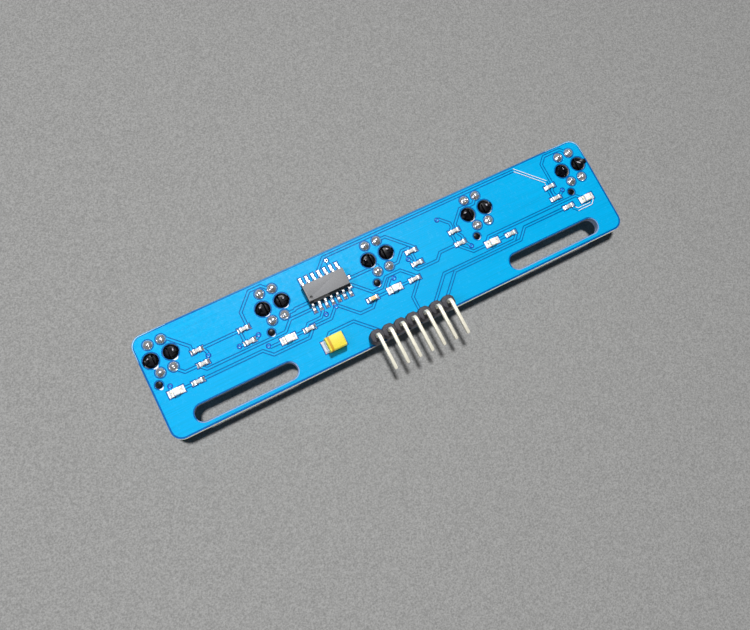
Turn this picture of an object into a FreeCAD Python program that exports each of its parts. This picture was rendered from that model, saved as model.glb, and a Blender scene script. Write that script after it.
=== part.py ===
import FreeCAD, Part
import math
import os

# Reflective line-sensor board for a line-following robot, in millimetres.
# A long circuit board carries five reflective sensors on its underside. Their leads, clips and
# pegs pass up through the board, and the chips and the right-angle pin header sit on top.
#
# The layout below is written from the board's centre, with z = 0 at the board's top surface.
# export() moves it to the part's own frame: the origin is midway between the two mounting
# slots, on the board's underside, +X along the board, +Y towards the sensors' far edge, +Z up.

V = FreeCAD.Vector

# Board and its layers
BOARD_LENGTH = 97.1
BOARD_WIDTH = 20.67
BOARD_Y = 0.175                  # middle of the board's outline
BOARD_NEAR_Y = BOARD_Y - BOARD_WIDTH / 2
BOARD_THICKNESS = 1.6
CORNER_RADIUS = 2.2
COPPER_THICKNESS = 0.05
MASK_THICKNESS = 0.05            # solder mask over copper
MASK_STEP = 0.03                 # how much lower the mask lies where there is no copper
POUR_TO_EDGE = 0.35              # bare strip between the copper and the board's outline
POUR_TO_HOLE = 0.25
TRACK_WIDTH = 0.32
CLEARANCE = 0.2                  # gap between copper features
LAYER_THICKNESS = COPPER_THICKNESS + MASK_THICKNESS
BOARD_BOTTOM = -BOARD_THICKNESS

# Mounting slots
SLOT_LENGTH = 20.32
SLOT_WIDTH = 3.3
SLOT_SPACING = 66.675
SLOT_Y = -7.35

# Reflective sensors
SENSOR_COUNT = 5
SENSOR_PITCH = 22.225
SENSOR_X = [SENSOR_PITCH * (i - (SENSOR_COUNT - 1) / 2) for i in range(SENSOR_COUNT)]
SENSOR_Y = 5.05
HOUSING_WIDTH = 5.8
HOUSING_LENGTH = 10.2
HOUSING_HEIGHT = 7.0
HOUSING_CORNER = 0.6
LENS_OFFSET = 2.6                # lens centres, each side of the housing's centre
LENS_RADIUS = 1.9
WINDOW_RADIUS = 2.2
WINDOW_DEPTH = 2.4
LENS_BODY_LENGTH = 3.6           # straight part of the lens body, before its dome
LENS_DOME_HEIGHT = 1.3
LENS_TOP = BOARD_BOTTOM - 2.0
SENSOR_LEAD_X = 1.27
SENSOR_LEAD_Y = (2.55, 8.15)
SENSOR_LEAD_SIDE = 0.45
SENSOR_LEAD_TOP = 0.55
CLIP_X = 1.92
CLIP_Y = 5.27
CLIP_HOLE_RADIUS = 1.45
CLIP_RADIUS = 1.25
CLIP_TOP = 0.15
CLIP_BEVEL = 0.3                 # at the top of a post
CLIP_SLIT = 0.25
CLIP_SLIT_OFFSET = 0.45          # from the post's centre, towards the other clip
CLIP_SLIT_DEPTH = 1.3
BARB_REACH = 0.05                # how far a barb hooks over the hole's rim
PROUD_BARB_REACH = 0.4           # the one clip that has sprung right out
PROUD_CLIP = (4, 1)              # its sensor's index and its side
BARB_TOP = 0.45
BARB_WIDTH = 0.8
BARB_ROOT = 0.25                 # from the post's centre
PEG_X = -2.4
PEG_Y = 0.6
PEG_HOLE_RADIUS = 0.7
PEG_RADIUS = 0.55
PEG_TOP = -0.1
PEG_ROOT = 0.5                   # how far the peg goes into the housing

# Plated holes and their pads
HOLE_RADIUS = 0.55
BARREL_BORE = 0.5
SENSOR_PAD_RADIUS = 0.95
SENSOR_BACK_PAD_RADIUS = 0.75
DOME_HEIGHT = 0.8
VIA_RADIUS = 0.2
VIA_BORE = 0.14
VIA_PAD_RADIUS = 0.34

# Header
PIN_COUNT = 7
PIN_PITCH = 2.54
PIN_X = [PIN_PITCH * (i - (PIN_COUNT - 1) / 2) for i in range(PIN_COUNT)]
PIN_SIDE = 0.64
HEADER_Y = BOARD_NEAR_Y + PIN_PITCH / 2
HEADER_HEIGHT = 2.54
HEADER_CORNER = 0.65
PIN_LEG_Z = 4.3                  # centre of the pins' horizontal legs
PIN_TIP_Y = -16.1
PIN_BEND = 0.85                  # centreline radius of the bend
PIN_TAIL = 1.4                   # length below the board
PIN_TAPER = 0.12
HEADER_PAD_RADIUS = 0.9
HEADER_SOLDER_HEIGHT = 1.0
HEADER_SOLDER_TIP = 0.48

# Chips: length, width, height, then the pads' centre offset, length and width
RESISTOR_SIZE = (1.6, 0.8, 0.45)
CERAMIC_SIZE = (1.6, 0.8, 0.8)
SMALL_PADS = (0.8, 0.92, 0.95)
END_CAP_LENGTH = 0.32
END_CAP_WALL = 0.03
PAIR_X = (-38.2, -28.9, 6.5, 16.15, 38.45)
EMITTER_RESISTOR_Y = 3.4
LOAD_RESISTOR_Y = 0.75
LED_ROW_Y = -1.85
LED_RESISTOR_X = (-40.35, -17.95, 4.55, 26.3, 39.95)
CERAMIC_PLACE = (-4.6, LED_ROW_Y)

# Indicator lights
LED_X = (-44.6, -22.3, 0.15, 22.0, 44.25)
LED_SIZE = (2.0, 1.25, 0.85)
LED_BASE_HEIGHT = 0.3
LED_LENS_LENGTH = 1.3
LED_LENS_SLOPE = 0.08
LED_TERMINAL_LENGTH = 0.3
LED_PADS = (1.07, 1.02, 1.4)

# Comparator chip
IC_PLACE = (-11.68, 4.0)
IC_SIDE_LEADS = 7
IC_PITCH = 1.27
IC_LENGTH = 8.65
IC_WIDTH = 3.9
IC_BOTTOM = 0.12
IC_TOP = 1.62
IC_DRAFT = 0.1
IC_BEVEL = 0.38
IC_LEAD_WIDTH = 0.42
IC_LEAD_THICKNESS = 0.2
IC_LEAD_Z = 0.85
LEAD_ROOT = 0.4                  # inside the body
LEAD_KNEE = IC_WIDTH / 2 + 0.42  # the gull wing's corners, from the chip's middle
LEAD_FOOT = LEAD_KNEE + 0.32
LEAD_TOE = LEAD_FOOT + 0.42
IC_DIMPLE_OFFSET = (-3.55, -0.85)
IC_DIMPLE_RADIUS = 0.28
IC_DIMPLE_DEPTH = 0.1
IC_PAD_Y = 2.9
IC_PAD_SIZE = (0.6, 1.5)
TEST_PADS = ((-6.8, 3.85), (-7.3, 2.2))
TEST_PAD_SIZE = (0.5, 0.8)
TEST_PAD_SOLDER = 0.12

# Solder on the chips: how far it climbs each kind's end wall, and its shape
CHIP_CLIMB = 0.36
LED_CLIMB = 0.3
TANTALUM_CLIMB = 0.5
FILLET_EDGE = 0.03               # its height at the pad's outer edge
FILLET_WAIST = 0.18              # from the end wall to the fillet's steepest part
FILLET_WAIST_SHARE = 0.45
FILLET_TOP = 0.03

# Tantalum capacitor
TANTALUM_PLACE = (-14.88, -6.3)
TANTALUM_SIZE = (3.8, 2.85, 1.9)
TANTALUM_LIFT = 0.13
TANTALUM_DRAFT = 0.07
TERMINAL_WIDTH = 2.2
TERMINAL_THICKNESS = 0.12
TERMINAL_HEIGHT = 1.0
TERMINAL_FOOT = 0.9
TANTALUM_PADS = ((-16.58, 1.5, 2.4), (-13.5, 1.2, 2.4))      # centre x, length, width

# Copper tracks, each a run of corners
TOP_TRACKS = (
    # first sensor and its resistors
    ((-43.2, 8.15), (-42.5, 8.15), (-39.05, 4.7), (-39.05, 3.4)),
    ((-43.2, 2.2), (-41.75, 0.75), (-39.0, 0.75)),
    ((-37.4, 3.4), (-29.7, 3.4)),
    ((-37.2, 3.4), (-36.7, 2.4), (-36.75, 1.7), (-37.4, 0.75)),
    ((-39.0, 0.75), (-38.9, 0.45), (-38.0, -0.45), (-22.2, -0.45), (-20.4, 1.35), (-15.5, 1.35)),
    ((-45.2, -0.45), (-45.65, -1.85)),
    ((-43.55, -1.85), (-41.15, -1.85)),
    ((-39.55, -1.85), (-27.55, -1.85), (-26.0, -3.4), (-18.7, -3.4), (-17.15, -1.85)),
    # second sensor
    ((-28.1, 3.4), (-28.1, 6.45), (-25.05, 9.5), (-22.65, 9.5), (-21.3, 8.15)),
    ((-29.75, 3.4), (-29.75, 0.75)),
    ((-31.0, 0.75), (-29.7, 0.75)),
    ((-26.95, 1.2), (-27.4, 0.75), (-28.1, 0.75)),
    ((-20.95, 2.55), (-18.95, 2.55), (-18.7, 2.75), (-15.2, 2.75), (-14.22, 1.75)),
    ((-26.2, -1.5), (-25.85, -1.85), (-23.35, -1.85)),
    ((-21.25, -1.85), (-18.75, -1.85)),
    ((-17.15, -1.85), (-13.45, -1.85), (-11.68, -0.1), (-11.68, 1.1)),
    ((-18.75, -1.85), (-18.65, -1.75), (-17.75, -0.85), (-15.1, -0.85), (-14.22, 0.03), (-14.22, 1.1)),
    # comparator, capacitors and header
    ((-11.6, -0.15), (-11.2, -0.15), (-8.0, -3.35), (-5.3, -3.35), (-3.8, -1.85)),
    ((-15.6, -4.75), (-15.0, -4.15), (-9.9, -4.15), (-5.15, -8.9)),
    ((-7.5, 3.65), (-0.75, 3.65), (-1.27, 2.9)),
    ((-9.14, 6.9), (-9.25, 8.65)),
    ((-11.68, 6.9), (-11.68, 7.45), (-9.6, 9.5), (33.3, 9.5), (38.25, 4.55), (38.25, 4.0), (37.65, 3.4)),
    # third sensor
    ((-7.1, 2.45), (-4.0, -0.65), (-2.0, -0.65), (-0.45, 0.9), (2.75, 0.9), (5.35, -1.7)),
    ((-3.8, -1.85), (-0.9, -1.85)),
    ((-0.9, -1.85), (-0.9, -0.8), (0.2, 0.3), (0.6, 0.3), (0.9, 0.05)),
    ((1.2, -1.85), (3.75, -1.85)),
    ((5.35, -2.05), (2.54, -4.86), (2.54, -8.9)),
    ((1.27, 8.15), (3.15, 8.15), (7.3, 4.0), (7.3, 3.4)),
    ((1.27, 2.5), (3.05, 2.5), (4.8, 4.25), (6.3, 4.25), (5.7, 3.65)),
    ((5.7, 3.4), (6.35, 2.75), (6.35, 1.4), (5.7, 0.75)),
    ((5.2, 2.15), (5.6, 1.6), (5.7, 0.75)),
    ((5.6, 0.75), (5.6, -0.05), (6.0, -0.45), (10.3, -0.45), (11.5, 0.75), (15.35, 0.75)),
    # fourth sensor
    ((14.05, 6.85), (14.5, 6.85), (16.1, 5.25), (16.1, 4.35), (15.5, 3.75)),
    ((16.95, 3.4), (16.95, 4.6), (19.35, 7.0), (20.2, 7.0), (20.6, 6.8), (22.35, 6.8), (23.5, 8.15)),
    ((15.35, 3.4), (15.35, 0.75)),
    ((16.95, 3.4), (16.6, 2.75), (17.1, 1.85), (16.95, 0.75)),
    ((16.95, 0.75), (17.85, -0.7)),
    ((15.35, 0.75), (15.35, 0.5), (17.7, -1.85), (20.95, -1.85)),
    ((20.95, -1.85), (20.95, -1.4), (21.9, -0.45), (42.4, -0.45), (43.2, -1.25)),
    ((23.05, -1.85), (25.5, -1.85)),
    ((5.08, -8.5), (10.25, -3.33), (26.3, -3.33), (27.1, -2.53), (27.1, -1.85)),
    ((7.6, -8.68), (12.45, -3.83), (27.5, -3.83), (29.48, -1.85), (39.15, -1.85)),
    # fifth sensor
    ((40.75, -1.85), (40.75, -2.6), (41.5, -3.35), (44.6, -3.35), (45.3, -2.65), (45.3, -1.85)),
    ((39.25, 3.4), (39.25, 8.3), (40.55, 9.6), (44.3, 9.6), (45.72, 8.18)),
    ((37.85, 3.4), (37.85, 0.75)),
    ((39.1, 3.2), (38.5, 2.6), (38.5, 1.5), (39.1, 0.9)),
    ((40.55, 1.7), (39.25, 0.75)),
)
BOTTOM_TRACKS = (
    ((-45.2, -0.45), (-42.0, -3.65), (-12.87, -3.65), (-7.62, -8.9)),
    ((-26.2, -1.5), (-25.1, -2.6), (-11.38, -2.6), (-5.08, -8.9)),
    ((-36.75, 1.7), (-35.8, 0.75), (-31.0, 0.75)),
    ((-26.95, 1.2), (-25.05, -0.7), (-13.95, -0.7)),
    ((-11.6, -0.15), (-10.75, -1.0), (-0.15, -1.0), (0.9, 0.05)),
    ((-9.25, 8.65), (-8.4, 9.5), (11.4, 9.5), (14.05, 6.85)),
    ((5.2, 2.15), (8.05, -0.7), (17.85, -0.7)),
    ((17.85, -0.7), (18.6, -1.45), (37.4, -1.45), (40.55, 1.7)),
)
TENTED_VIAS = (
    (-45.2, -0.45), (-36.75, 1.7), (-31.0, 0.75), (-26.95, 1.2), (-26.2, -1.5), (-13.95, -0.7),
    (-11.6, -0.15), (0.9, 0.05), (5.2, 2.15), (14.05, 6.85), (17.85, -0.7), (40.55, 1.7),
)
TINNED_VIA = (-9.25, 8.65)


# ---------------------------------------------------------------- plain shapes

def rectangle(x, y, length, width):
    """A flat face centred on (x, y)."""
    face = Part.makePlane(length, width)
    face.translate(V(x - length / 2, y - width / 2, 0))
    return face


def disc(x, y, radius):
    return Part.Face(Part.Wire(Part.makeCircle(radius, V(x, y, 0))))


def capsule(start, end, width):
    """A flat face round the straight line between two points, with round ends."""
    a = V(start[0], start[1], 0)
    b = V(end[0], end[1], 0)
    along = (b - a).normalize()
    side = V(-along.y, along.x, 0) * (width / 2)
    tip = along * (width / 2)
    edges = [
        Part.LineSegment(a + side, b + side).toShape(),
        Part.Arc(b + side, b + tip, b - side).toShape(),
        Part.LineSegment(b - side, a - side).toShape(),
        Part.Arc(a - side, a - tip, a + side).toShape(),
    ]
    return Part.Face(Part.Wire(edges))


def strip(points, width):
    """A flat track of one width along a run of corners."""
    if len(points) == 2:
        return capsule(points[0], points[1], width)
    wire = Part.makePolygon([V(x, y, 0) for x, y in points])
    return Part.Face(wire.makeOffset2D(width / 2, 0, False, False, False))


def rounded_rectangle(length, width, radius):
    """A flat face centred on the origin, with its four corners rounded."""
    x = length / 2 - radius
    y = width / 2 - radius
    diagonal = radius * math.sqrt(0.5)
    corners = ((x, y, 1, 1), (-x, y, -1, 1), (-x, -y, -1, -1), (x, -y, 1, -1))
    edges = []
    last_end = None
    for cx, cy, sx, sy in corners:
        across = V(cx + sx * radius, cy, 0)
        up = V(cx, cy + sy * radius, 0)
        start, end = (across, up) if sx * sy > 0 else (up, across)
        middle = V(cx + sx * diagonal, cy + sy * diagonal, 0)
        if last_end is not None:
            edges.append(Part.LineSegment(last_end, start).toShape())
        edges.append(Part.Arc(start, middle, end).toShape())
        last_end = end
    edges.append(Part.LineSegment(last_end, V(x + radius, y, 0)).toShape())
    return Part.Face(Part.Wire(edges))


def joined(shapes):
    """One shape from several, with the seams between them removed."""
    if len(shapes) == 1:
        return shapes[0]
    return shapes[0].multiFuse(list(shapes[1:])).removeSplitter()


def prism(region, low, high):
    """Solids from every face of a flat region, between two heights."""
    solids = []
    for face in region.Faces:
        solid = face.extrude(V(0, 0, high - low))
        solid.translate(V(0, 0, low))
        solids.append(solid)
    return Part.makeCompound(solids)


def box(x, y, low, length, width, high):
    """A block centred on (x, y), between two heights."""
    return Part.makeBox(length, width, high - low, V(x - length / 2, y - width / 2, low))


def cylinder(x, y, radius, low, high):
    return Part.makeCylinder(radius, high - low, V(x, y, low))


def profile_x(points, x, length):
    """An (y, z) outline, extruded along X and centred on x."""
    wire = Part.makePolygon([V(x - length / 2, y, z) for y, z in list(points) + [points[0]]])
    return Part.Face(wire).extrude(V(length, 0, 0))


def profile_y(points, y, width):
    """An (x, z) outline, extruded along Y and centred on y."""
    wire = Part.makePolygon([V(x, y - width / 2, z) for x, z in list(points) + [points[0]]])
    return Part.Face(wire).extrude(V(0, width, 0))


# ---------------------------------------------------------------- where things go

def sensor_joints():
    """(x, y) of every sensor lead."""
    return [(sx + side * SENSOR_LEAD_X, y) for sx in SENSOR_X for side in (-1, 1) for y in SENSOR_LEAD_Y]


def header_joints():
    return [(x, HEADER_Y) for x in PIN_X]


def chip_places():
    """(name, x, y, size) of every two-ended chip but the indicator lights."""
    places = []
    for i, x in enumerate(PAIR_X):
        places.append((f"emitter_resistor_{i + 1}", x, EMITTER_RESISTOR_Y, RESISTOR_SIZE))
        places.append((f"load_resistor_{i + 1}", x, LOAD_RESISTOR_Y, RESISTOR_SIZE))
    for i, x in enumerate(LED_RESISTOR_X):
        places.append((f"indicator_resistor_{i + 1}", x, LED_ROW_Y, RESISTOR_SIZE))
    places.append(("ceramic_capacitor", *CERAMIC_PLACE, CERAMIC_SIZE))
    return places


def ic_lead_x():
    return [IC_PLACE[0] + IC_PITCH * (i - (IC_SIDE_LEADS - 1) / 2) for i in range(IC_SIDE_LEADS)]


def surface_pads():
    """(x, y, length, width) of every surface pad."""
    pads = []
    for _, x, y, _ in chip_places():
        offset, length, width = SMALL_PADS
        pads += [(x + side * offset, y, length, width) for side in (-1, 1)]
    for x in LED_X:
        offset, length, width = LED_PADS
        pads += [(x + side * offset, LED_ROW_Y, length, width) for side in (-1, 1)]
    for x in ic_lead_x():
        pads += [(x, IC_PLACE[1] + side * IC_PAD_Y, *IC_PAD_SIZE) for side in (-1, 1)]
    pads += [(x, TANTALUM_PLACE[1], length, width) for x, length, width in TANTALUM_PADS]
    pads += [(x, y, *TEST_PAD_SIZE) for x, y in TEST_PADS]
    return pads


def slot_face(side, width_added=0.0):
    half_run = (SLOT_LENGTH - SLOT_WIDTH) / 2
    x = side * SLOT_SPACING / 2
    return capsule((x - half_run, SLOT_Y), (x + half_run, SLOT_Y), SLOT_WIDTH + width_added)


def clip_and_peg_faces(added=0.0):
    """The sensors' unplated holes."""
    faces = []
    for sx in SENSOR_X:
        faces += [disc(sx + side * CLIP_X, CLIP_Y, CLIP_HOLE_RADIUS + added) for side in (-1, 1)]
        faces.append(disc(sx + PEG_X, PEG_Y, PEG_HOLE_RADIUS + added))
    return faces


def plated_hole_faces(radius):
    return [disc(x, y, radius) for x, y in sensor_joints() + header_joints()]


# ---------------------------------------------------------------- board

def board_area():
    """The board's outline without its slots and unplated holes."""
    outline = rounded_rectangle(BOARD_LENGTH, BOARD_WIDTH, CORNER_RADIUS)
    outline.translate(V(0, BOARD_Y, 0))
    return outline.cut([slot_face(-1), slot_face(1)] + clip_and_peg_faces())


def pour_area():
    """Where copper may lie: clear of the outline, the slots and the unplated holes."""
    inset = rounded_rectangle(
        BOARD_LENGTH - 2 * POUR_TO_EDGE, BOARD_WIDTH - 2 * POUR_TO_EDGE, CORNER_RADIUS - POUR_TO_EDGE
    )
    inset.translate(V(0, BOARD_Y, 0))
    slots = [slot_face(side, 2 * POUR_TO_HOLE) for side in (-1, 1)]
    return inset.cut(slots + clip_and_peg_faces(POUR_TO_HOLE))


def make_layers(tracks, round_pads, flat_pads, inner, outer):
    """Copper and solder mask of one side, from the core's face (inner) to the outside (outer)."""
    out = 1 if outer > inner else -1
    exposed = [disc(x, y, r) for x, y, r in round_pads] + [rectangle(*pad) for pad in flat_pads]
    vias = [disc(x, y, VIA_PAD_RADIUS) for x, y in TENTED_VIAS + (TINNED_VIA,)]
    features = [strip(points, TRACK_WIDTH) for points in tracks] + exposed + vias
    around = [strip(points, TRACK_WIDTH + 2 * CLEARANCE) for points in tracks]
    around += [disc(x, y, r + CLEARANCE) for x, y, r in round_pads]
    around += [rectangle(x, y, a + 2 * CLEARANCE, b + 2 * CLEARANCE) for x, y, a, b in flat_pads]
    around += [disc(x, y, VIA_PAD_RADIUS + CLEARANCE) for x, y in TENTED_VIAS + (TINNED_VIA,)]
    allowed = pour_area()
    pour = allowed.cut(joined(around))
    drawn = joined(features).common(joined([allowed] + exposed)).removeSplitter()
    raised = Part.makeCompound(pour.Faces + drawn.Faces)
    drilled = plated_hole_faces(HOLE_RADIUS)
    drilled += [disc(x, y, VIA_RADIUS) for x, y in TENTED_VIAS + (TINNED_VIA,)]
    foil_face = inner + out * COPPER_THICKNESS
    foil = prism(raised, min(inner, foil_face), max(inner, foil_face))
    copper = foil.cut(prism(Part.makeCompound(drilled), min(inner, foil_face), max(inner, foil_face)))
    openings = exposed + [disc(*TINNED_VIA, VIA_PAD_RADIUS)]
    area = board_area().cut(openings)
    low_face = outer - out * MASK_STEP
    mask = prism(area, min(inner, outer), max(inner, outer)).cut(foil)
    low_area = area.cut(raised)
    mask = mask.cut(prism(low_area, min(low_face, outer), max(low_face, outer)))
    return copper, mask


def make_board():
    """Glass-fibre core, foils, solder masks and the plating in the holes."""
    core_top = -LAYER_THICKNESS
    core_bottom = BOARD_BOTTOM + LAYER_THICKNESS
    vias = TENTED_VIAS + (TINNED_VIA,)
    drilled = plated_hole_faces(HOLE_RADIUS) + [disc(x, y, VIA_RADIUS) for x, y in vias]
    core = prism(board_area().cut(drilled), core_bottom, core_top)
    top_pads = [(x, y, SENSOR_PAD_RADIUS) for x, y in sensor_joints()]
    top_pads += [(x, y, HEADER_PAD_RADIUS) for x, y in header_joints()]
    back_pads = [(x, y, SENSOR_BACK_PAD_RADIUS) for x, y in sensor_joints()]
    back_pads += [(x, y, HEADER_PAD_RADIUS) for x, y in header_joints()]
    copper_top, mask_top = make_layers(TOP_TRACKS, top_pads, surface_pads(), core_top, 0.0)
    copper_bottom, mask_bottom = make_layers(BOTTOM_TRACKS, back_pads, [], core_bottom, BOARD_BOTTOM)
    low = core_bottom - COPPER_THICKNESS
    high = core_top + COPPER_THICKNESS
    barrels = []
    for x, y in sensor_joints() + header_joints():
        barrels.append(cylinder(x, y, HOLE_RADIUS, low, high).cut(cylinder(x, y, BARREL_BORE, low, high)))
    for x, y in vias:
        barrels.append(cylinder(x, y, VIA_RADIUS, low, high).cut(cylinder(x, y, VIA_BORE, low, high)))
    return {
        "circuit_board": core,
        "copper_top": copper_top,
        "copper_bottom": copper_bottom,
        "solder_mask_top": mask_top,
        "solder_mask_bottom": mask_bottom,
        "plated_barrels": Part.makeCompound(barrels),
    }


# ---------------------------------------------------------------- reflective sensors

def lens(x, y):
    """A lens body that hangs down, ending in a dome."""
    straight_end = LENS_TOP - LENS_BODY_LENGTH
    straight = cylinder(x, y, LENS_RADIUS, straight_end, LENS_TOP)
    sphere_radius = (LENS_RADIUS ** 2 + LENS_DOME_HEIGHT ** 2) / (2 * LENS_DOME_HEIGHT)
    centre = V(x, y, straight_end + sphere_radius - LENS_DOME_HEIGHT)
    dome = Part.makeSphere(sphere_radius, centre)
    below = cylinder(x, y, LENS_RADIUS, straight_end - LENS_DOME_HEIGHT, straight_end)
    return joined([straight, dome.common(below)])


def clip(x, side, reach):
    """A split post, and a barb on the housing's outer side that hooks over the hole's rim."""
    cone_low = CLIP_TOP - CLIP_BEVEL
    post = cylinder(x, CLIP_Y, CLIP_RADIUS, BOARD_BOTTOM, cone_low)
    head = Part.makeCone(CLIP_RADIUS, CLIP_RADIUS - CLIP_BEVEL, CLIP_BEVEL, V(x, CLIP_Y, cone_low))
    slit = box(
        x - side * CLIP_SLIT_OFFSET, CLIP_Y, CLIP_TOP - CLIP_SLIT_DEPTH, CLIP_SLIT, 3 * CLIP_RADIUS, CLIP_TOP
    )
    rim = CLIP_HOLE_RADIUS + reach
    outline = [
        (x + side * BARB_ROOT, BOARD_BOTTOM), (x + side * CLIP_RADIUS * 0.8, BOARD_BOTTOM),
        (x + side * CLIP_RADIUS * 0.8, 0.0), (x + side * rim, 0.0), (x + side * rim, BARB_TOP / 3),
        (x + side * (rim - BARB_TOP), BARB_TOP), (x + side * BARB_ROOT, BARB_TOP / 2),
    ]
    return joined([joined([post, head]).cut(slit), profile_y(outline, CLIP_Y, BARB_WIDTH)])


def make_sensor(index):
    """Housing with its clips and peg, the two lens bodies and the four leads of one sensor."""
    sx = SENSOR_X[index]
    bottom = BOARD_BOTTOM - HOUSING_HEIGHT
    outline = rounded_rectangle(HOUSING_WIDTH, HOUSING_LENGTH, HOUSING_CORNER)
    outline.translate(V(sx, SENSOR_Y, 0))
    body = prism(outline, bottom, BOARD_BOTTOM).Solids[0]
    lenses = [lens(sx, SENSOR_Y + side * LENS_OFFSET) for side in (1, -1)]
    leads = [
        box(sx + side * SENSOR_LEAD_X, y, LENS_TOP, SENSOR_LEAD_SIDE, SENSOR_LEAD_SIDE, SENSOR_LEAD_TOP)
        for side in (-1, 1) for y in SENSOR_LEAD_Y
    ]
    windows = [
        cylinder(sx, SENSOR_Y + side * LENS_OFFSET, WINDOW_RADIUS, bottom, bottom + WINDOW_DEPTH)
        for side in (-1, 1)
    ]
    clips = []
    for side in (-1, 1):
        reach = PROUD_BARB_REACH if (index, side) == PROUD_CLIP else BARB_REACH
        clips.append(clip(sx + side * CLIP_X, side, reach))
    peg = cylinder(sx + PEG_X, PEG_Y, PEG_RADIUS, BOARD_BOTTOM - PEG_ROOT, PEG_TOP)
    housing = joined([body, peg] + clips).cut(windows + lenses + leads)
    number = index + 1
    return {
        f"sensor_housing_{number}": housing,
        f"emitter_{number}": lenses[0],
        f"detector_{number}": lenses[1],
        f"sensor_leads_{number}": Part.makeCompound(leads),
    }


def make_sensor_solder():
    """A dome round each lead on top, the fill in its hole and the flush ring below."""
    joints = []
    base = -MASK_THICKNESS
    for x, y in sensor_joints():
        radius = (SENSOR_PAD_RADIUS ** 2 + DOME_HEIGHT ** 2) / (2 * DOME_HEIGHT)
        sphere = Part.makeSphere(radius, V(x, y, DOME_HEIGHT - radius))
        dome = sphere.common(cylinder(x, y, SENSOR_PAD_RADIUS, 0, DOME_HEIGHT))
        pad_fill = cylinder(x, y, SENSOR_PAD_RADIUS, base, 0)
        hole_fill = cylinder(x, y, BARREL_BORE, BOARD_BOTTOM + MASK_THICKNESS, base)
        ring = cylinder(x, y, SENSOR_BACK_PAD_RADIUS, BOARD_BOTTOM, BOARD_BOTTOM + MASK_THICKNESS)
        lead = box(x, y, BOARD_BOTTOM, SENSOR_LEAD_SIDE, SENSOR_LEAD_SIDE, SENSOR_LEAD_TOP)
        joints.append(joined([dome, pad_fill, hole_fill, ring]).cut(lead))
    return Part.makeCompound(joints)


# ---------------------------------------------------------------- header

def make_pin(x):
    """A square pin that rises through the board and bends level, towards the near edge."""
    half = PIN_SIDE / 2
    bend_z = PIN_LEG_Z - PIN_BEND
    bend_y = HEADER_Y - PIN_BEND
    upright = box(x, HEADER_Y, BOARD_BOTTOM - PIN_TAIL, PIN_SIDE, PIN_SIDE, bend_z)
    section = Part.makePlane(PIN_SIDE, PIN_SIDE)
    section.translate(V(x - half, HEADER_Y - half, bend_z))
    elbow = section.revolve(V(x, bend_y, bend_z), V(1, 0, 0), 90)
    leg = Part.makeBox(PIN_SIDE, bend_y - PIN_TIP_Y, PIN_SIDE, V(x - half, PIN_TIP_Y, PIN_LEG_Z - half))
    pin = joined([upright, elbow, leg])
    low_end = BOARD_BOTTOM - PIN_TAIL
    tip_edges = [
        edge for edge in pin.Edges
        if abs(edge.BoundBox.ZMax - low_end) < 1e-6 or abs(edge.BoundBox.YMax - PIN_TIP_Y) < 1e-6
    ]
    return pin.makeChamfer(PIN_TAPER, tip_edges)


def make_header():
    pins = [make_pin(x) for x in PIN_X]
    c = PIN_PITCH / 2
    k = c - HEADER_CORNER
    corners = ((c, k), (k, c), (-k, c), (-c, k), (-c, -k), (-k, -c), (k, -c), (c, -k))
    segments = []
    for x in PIN_X:
        wire = Part.makePolygon([V(x + a, HEADER_Y + b, 0) for a, b in corners + corners[:1]])
        segments.append(Part.Face(wire).extrude(V(0, 0, HEADER_HEIGHT)))
    base = joined(segments).cut([box(x, HEADER_Y, 0, PIN_SIDE, PIN_SIDE, HEADER_HEIGHT) for x in PIN_X])
    joints = []
    for x in PIN_X:
        cone = Part.makeCone(
            HEADER_SOLDER_TIP, HEADER_PAD_RADIUS, HEADER_SOLDER_HEIGHT,
            V(x, HEADER_Y, BOARD_BOTTOM - HEADER_SOLDER_HEIGHT),
        )
        back = cylinder(x, HEADER_Y, HEADER_PAD_RADIUS, BOARD_BOTTOM, BOARD_BOTTOM + MASK_THICKNESS)
        fill = cylinder(x, HEADER_Y, BARREL_BORE, BOARD_BOTTOM + MASK_THICKNESS, -MASK_THICKNESS)
        front = cylinder(x, HEADER_Y, HEADER_PAD_RADIUS, -MASK_THICKNESS, 0)
        square = box(x, HEADER_Y, BOARD_BOTTOM - PIN_TAIL, PIN_SIDE, PIN_SIDE, 0)
        joints.append(joined([cone, back, fill, front]).cut(square))
    return {
        "header_base": base,
        "header_pins": Part.makeCompound(pins),
        "header_solder": Part.makeCompound(joints),
    }


# ---------------------------------------------------------------- chips

def end_caps(x, y, size):
    """The metal that wraps both ends of a chip, hollow for the chip's body."""
    length, width, height = size
    body = chip_body(x, y, size)
    caps = []
    for side in (-1, 1):
        centre = x + side * (length - END_CAP_LENGTH) / 2
        caps.append(box(centre, y, 0, END_CAP_LENGTH, width, height).cut(body))
    return caps


def chip_body(x, y, size):
    length, width, height = size
    wall = 2 * END_CAP_WALL
    return box(x, y, END_CAP_WALL, length - wall, width - wall, height - END_CAP_WALL)


def make_chips():
    nodes = {}
    caps = []
    for name, x, y, size in chip_places():
        nodes[name] = chip_body(x, y, size)
        caps += end_caps(x, y, size)
    nodes["chip_end_caps"] = Part.makeCompound(caps)
    return nodes


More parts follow.
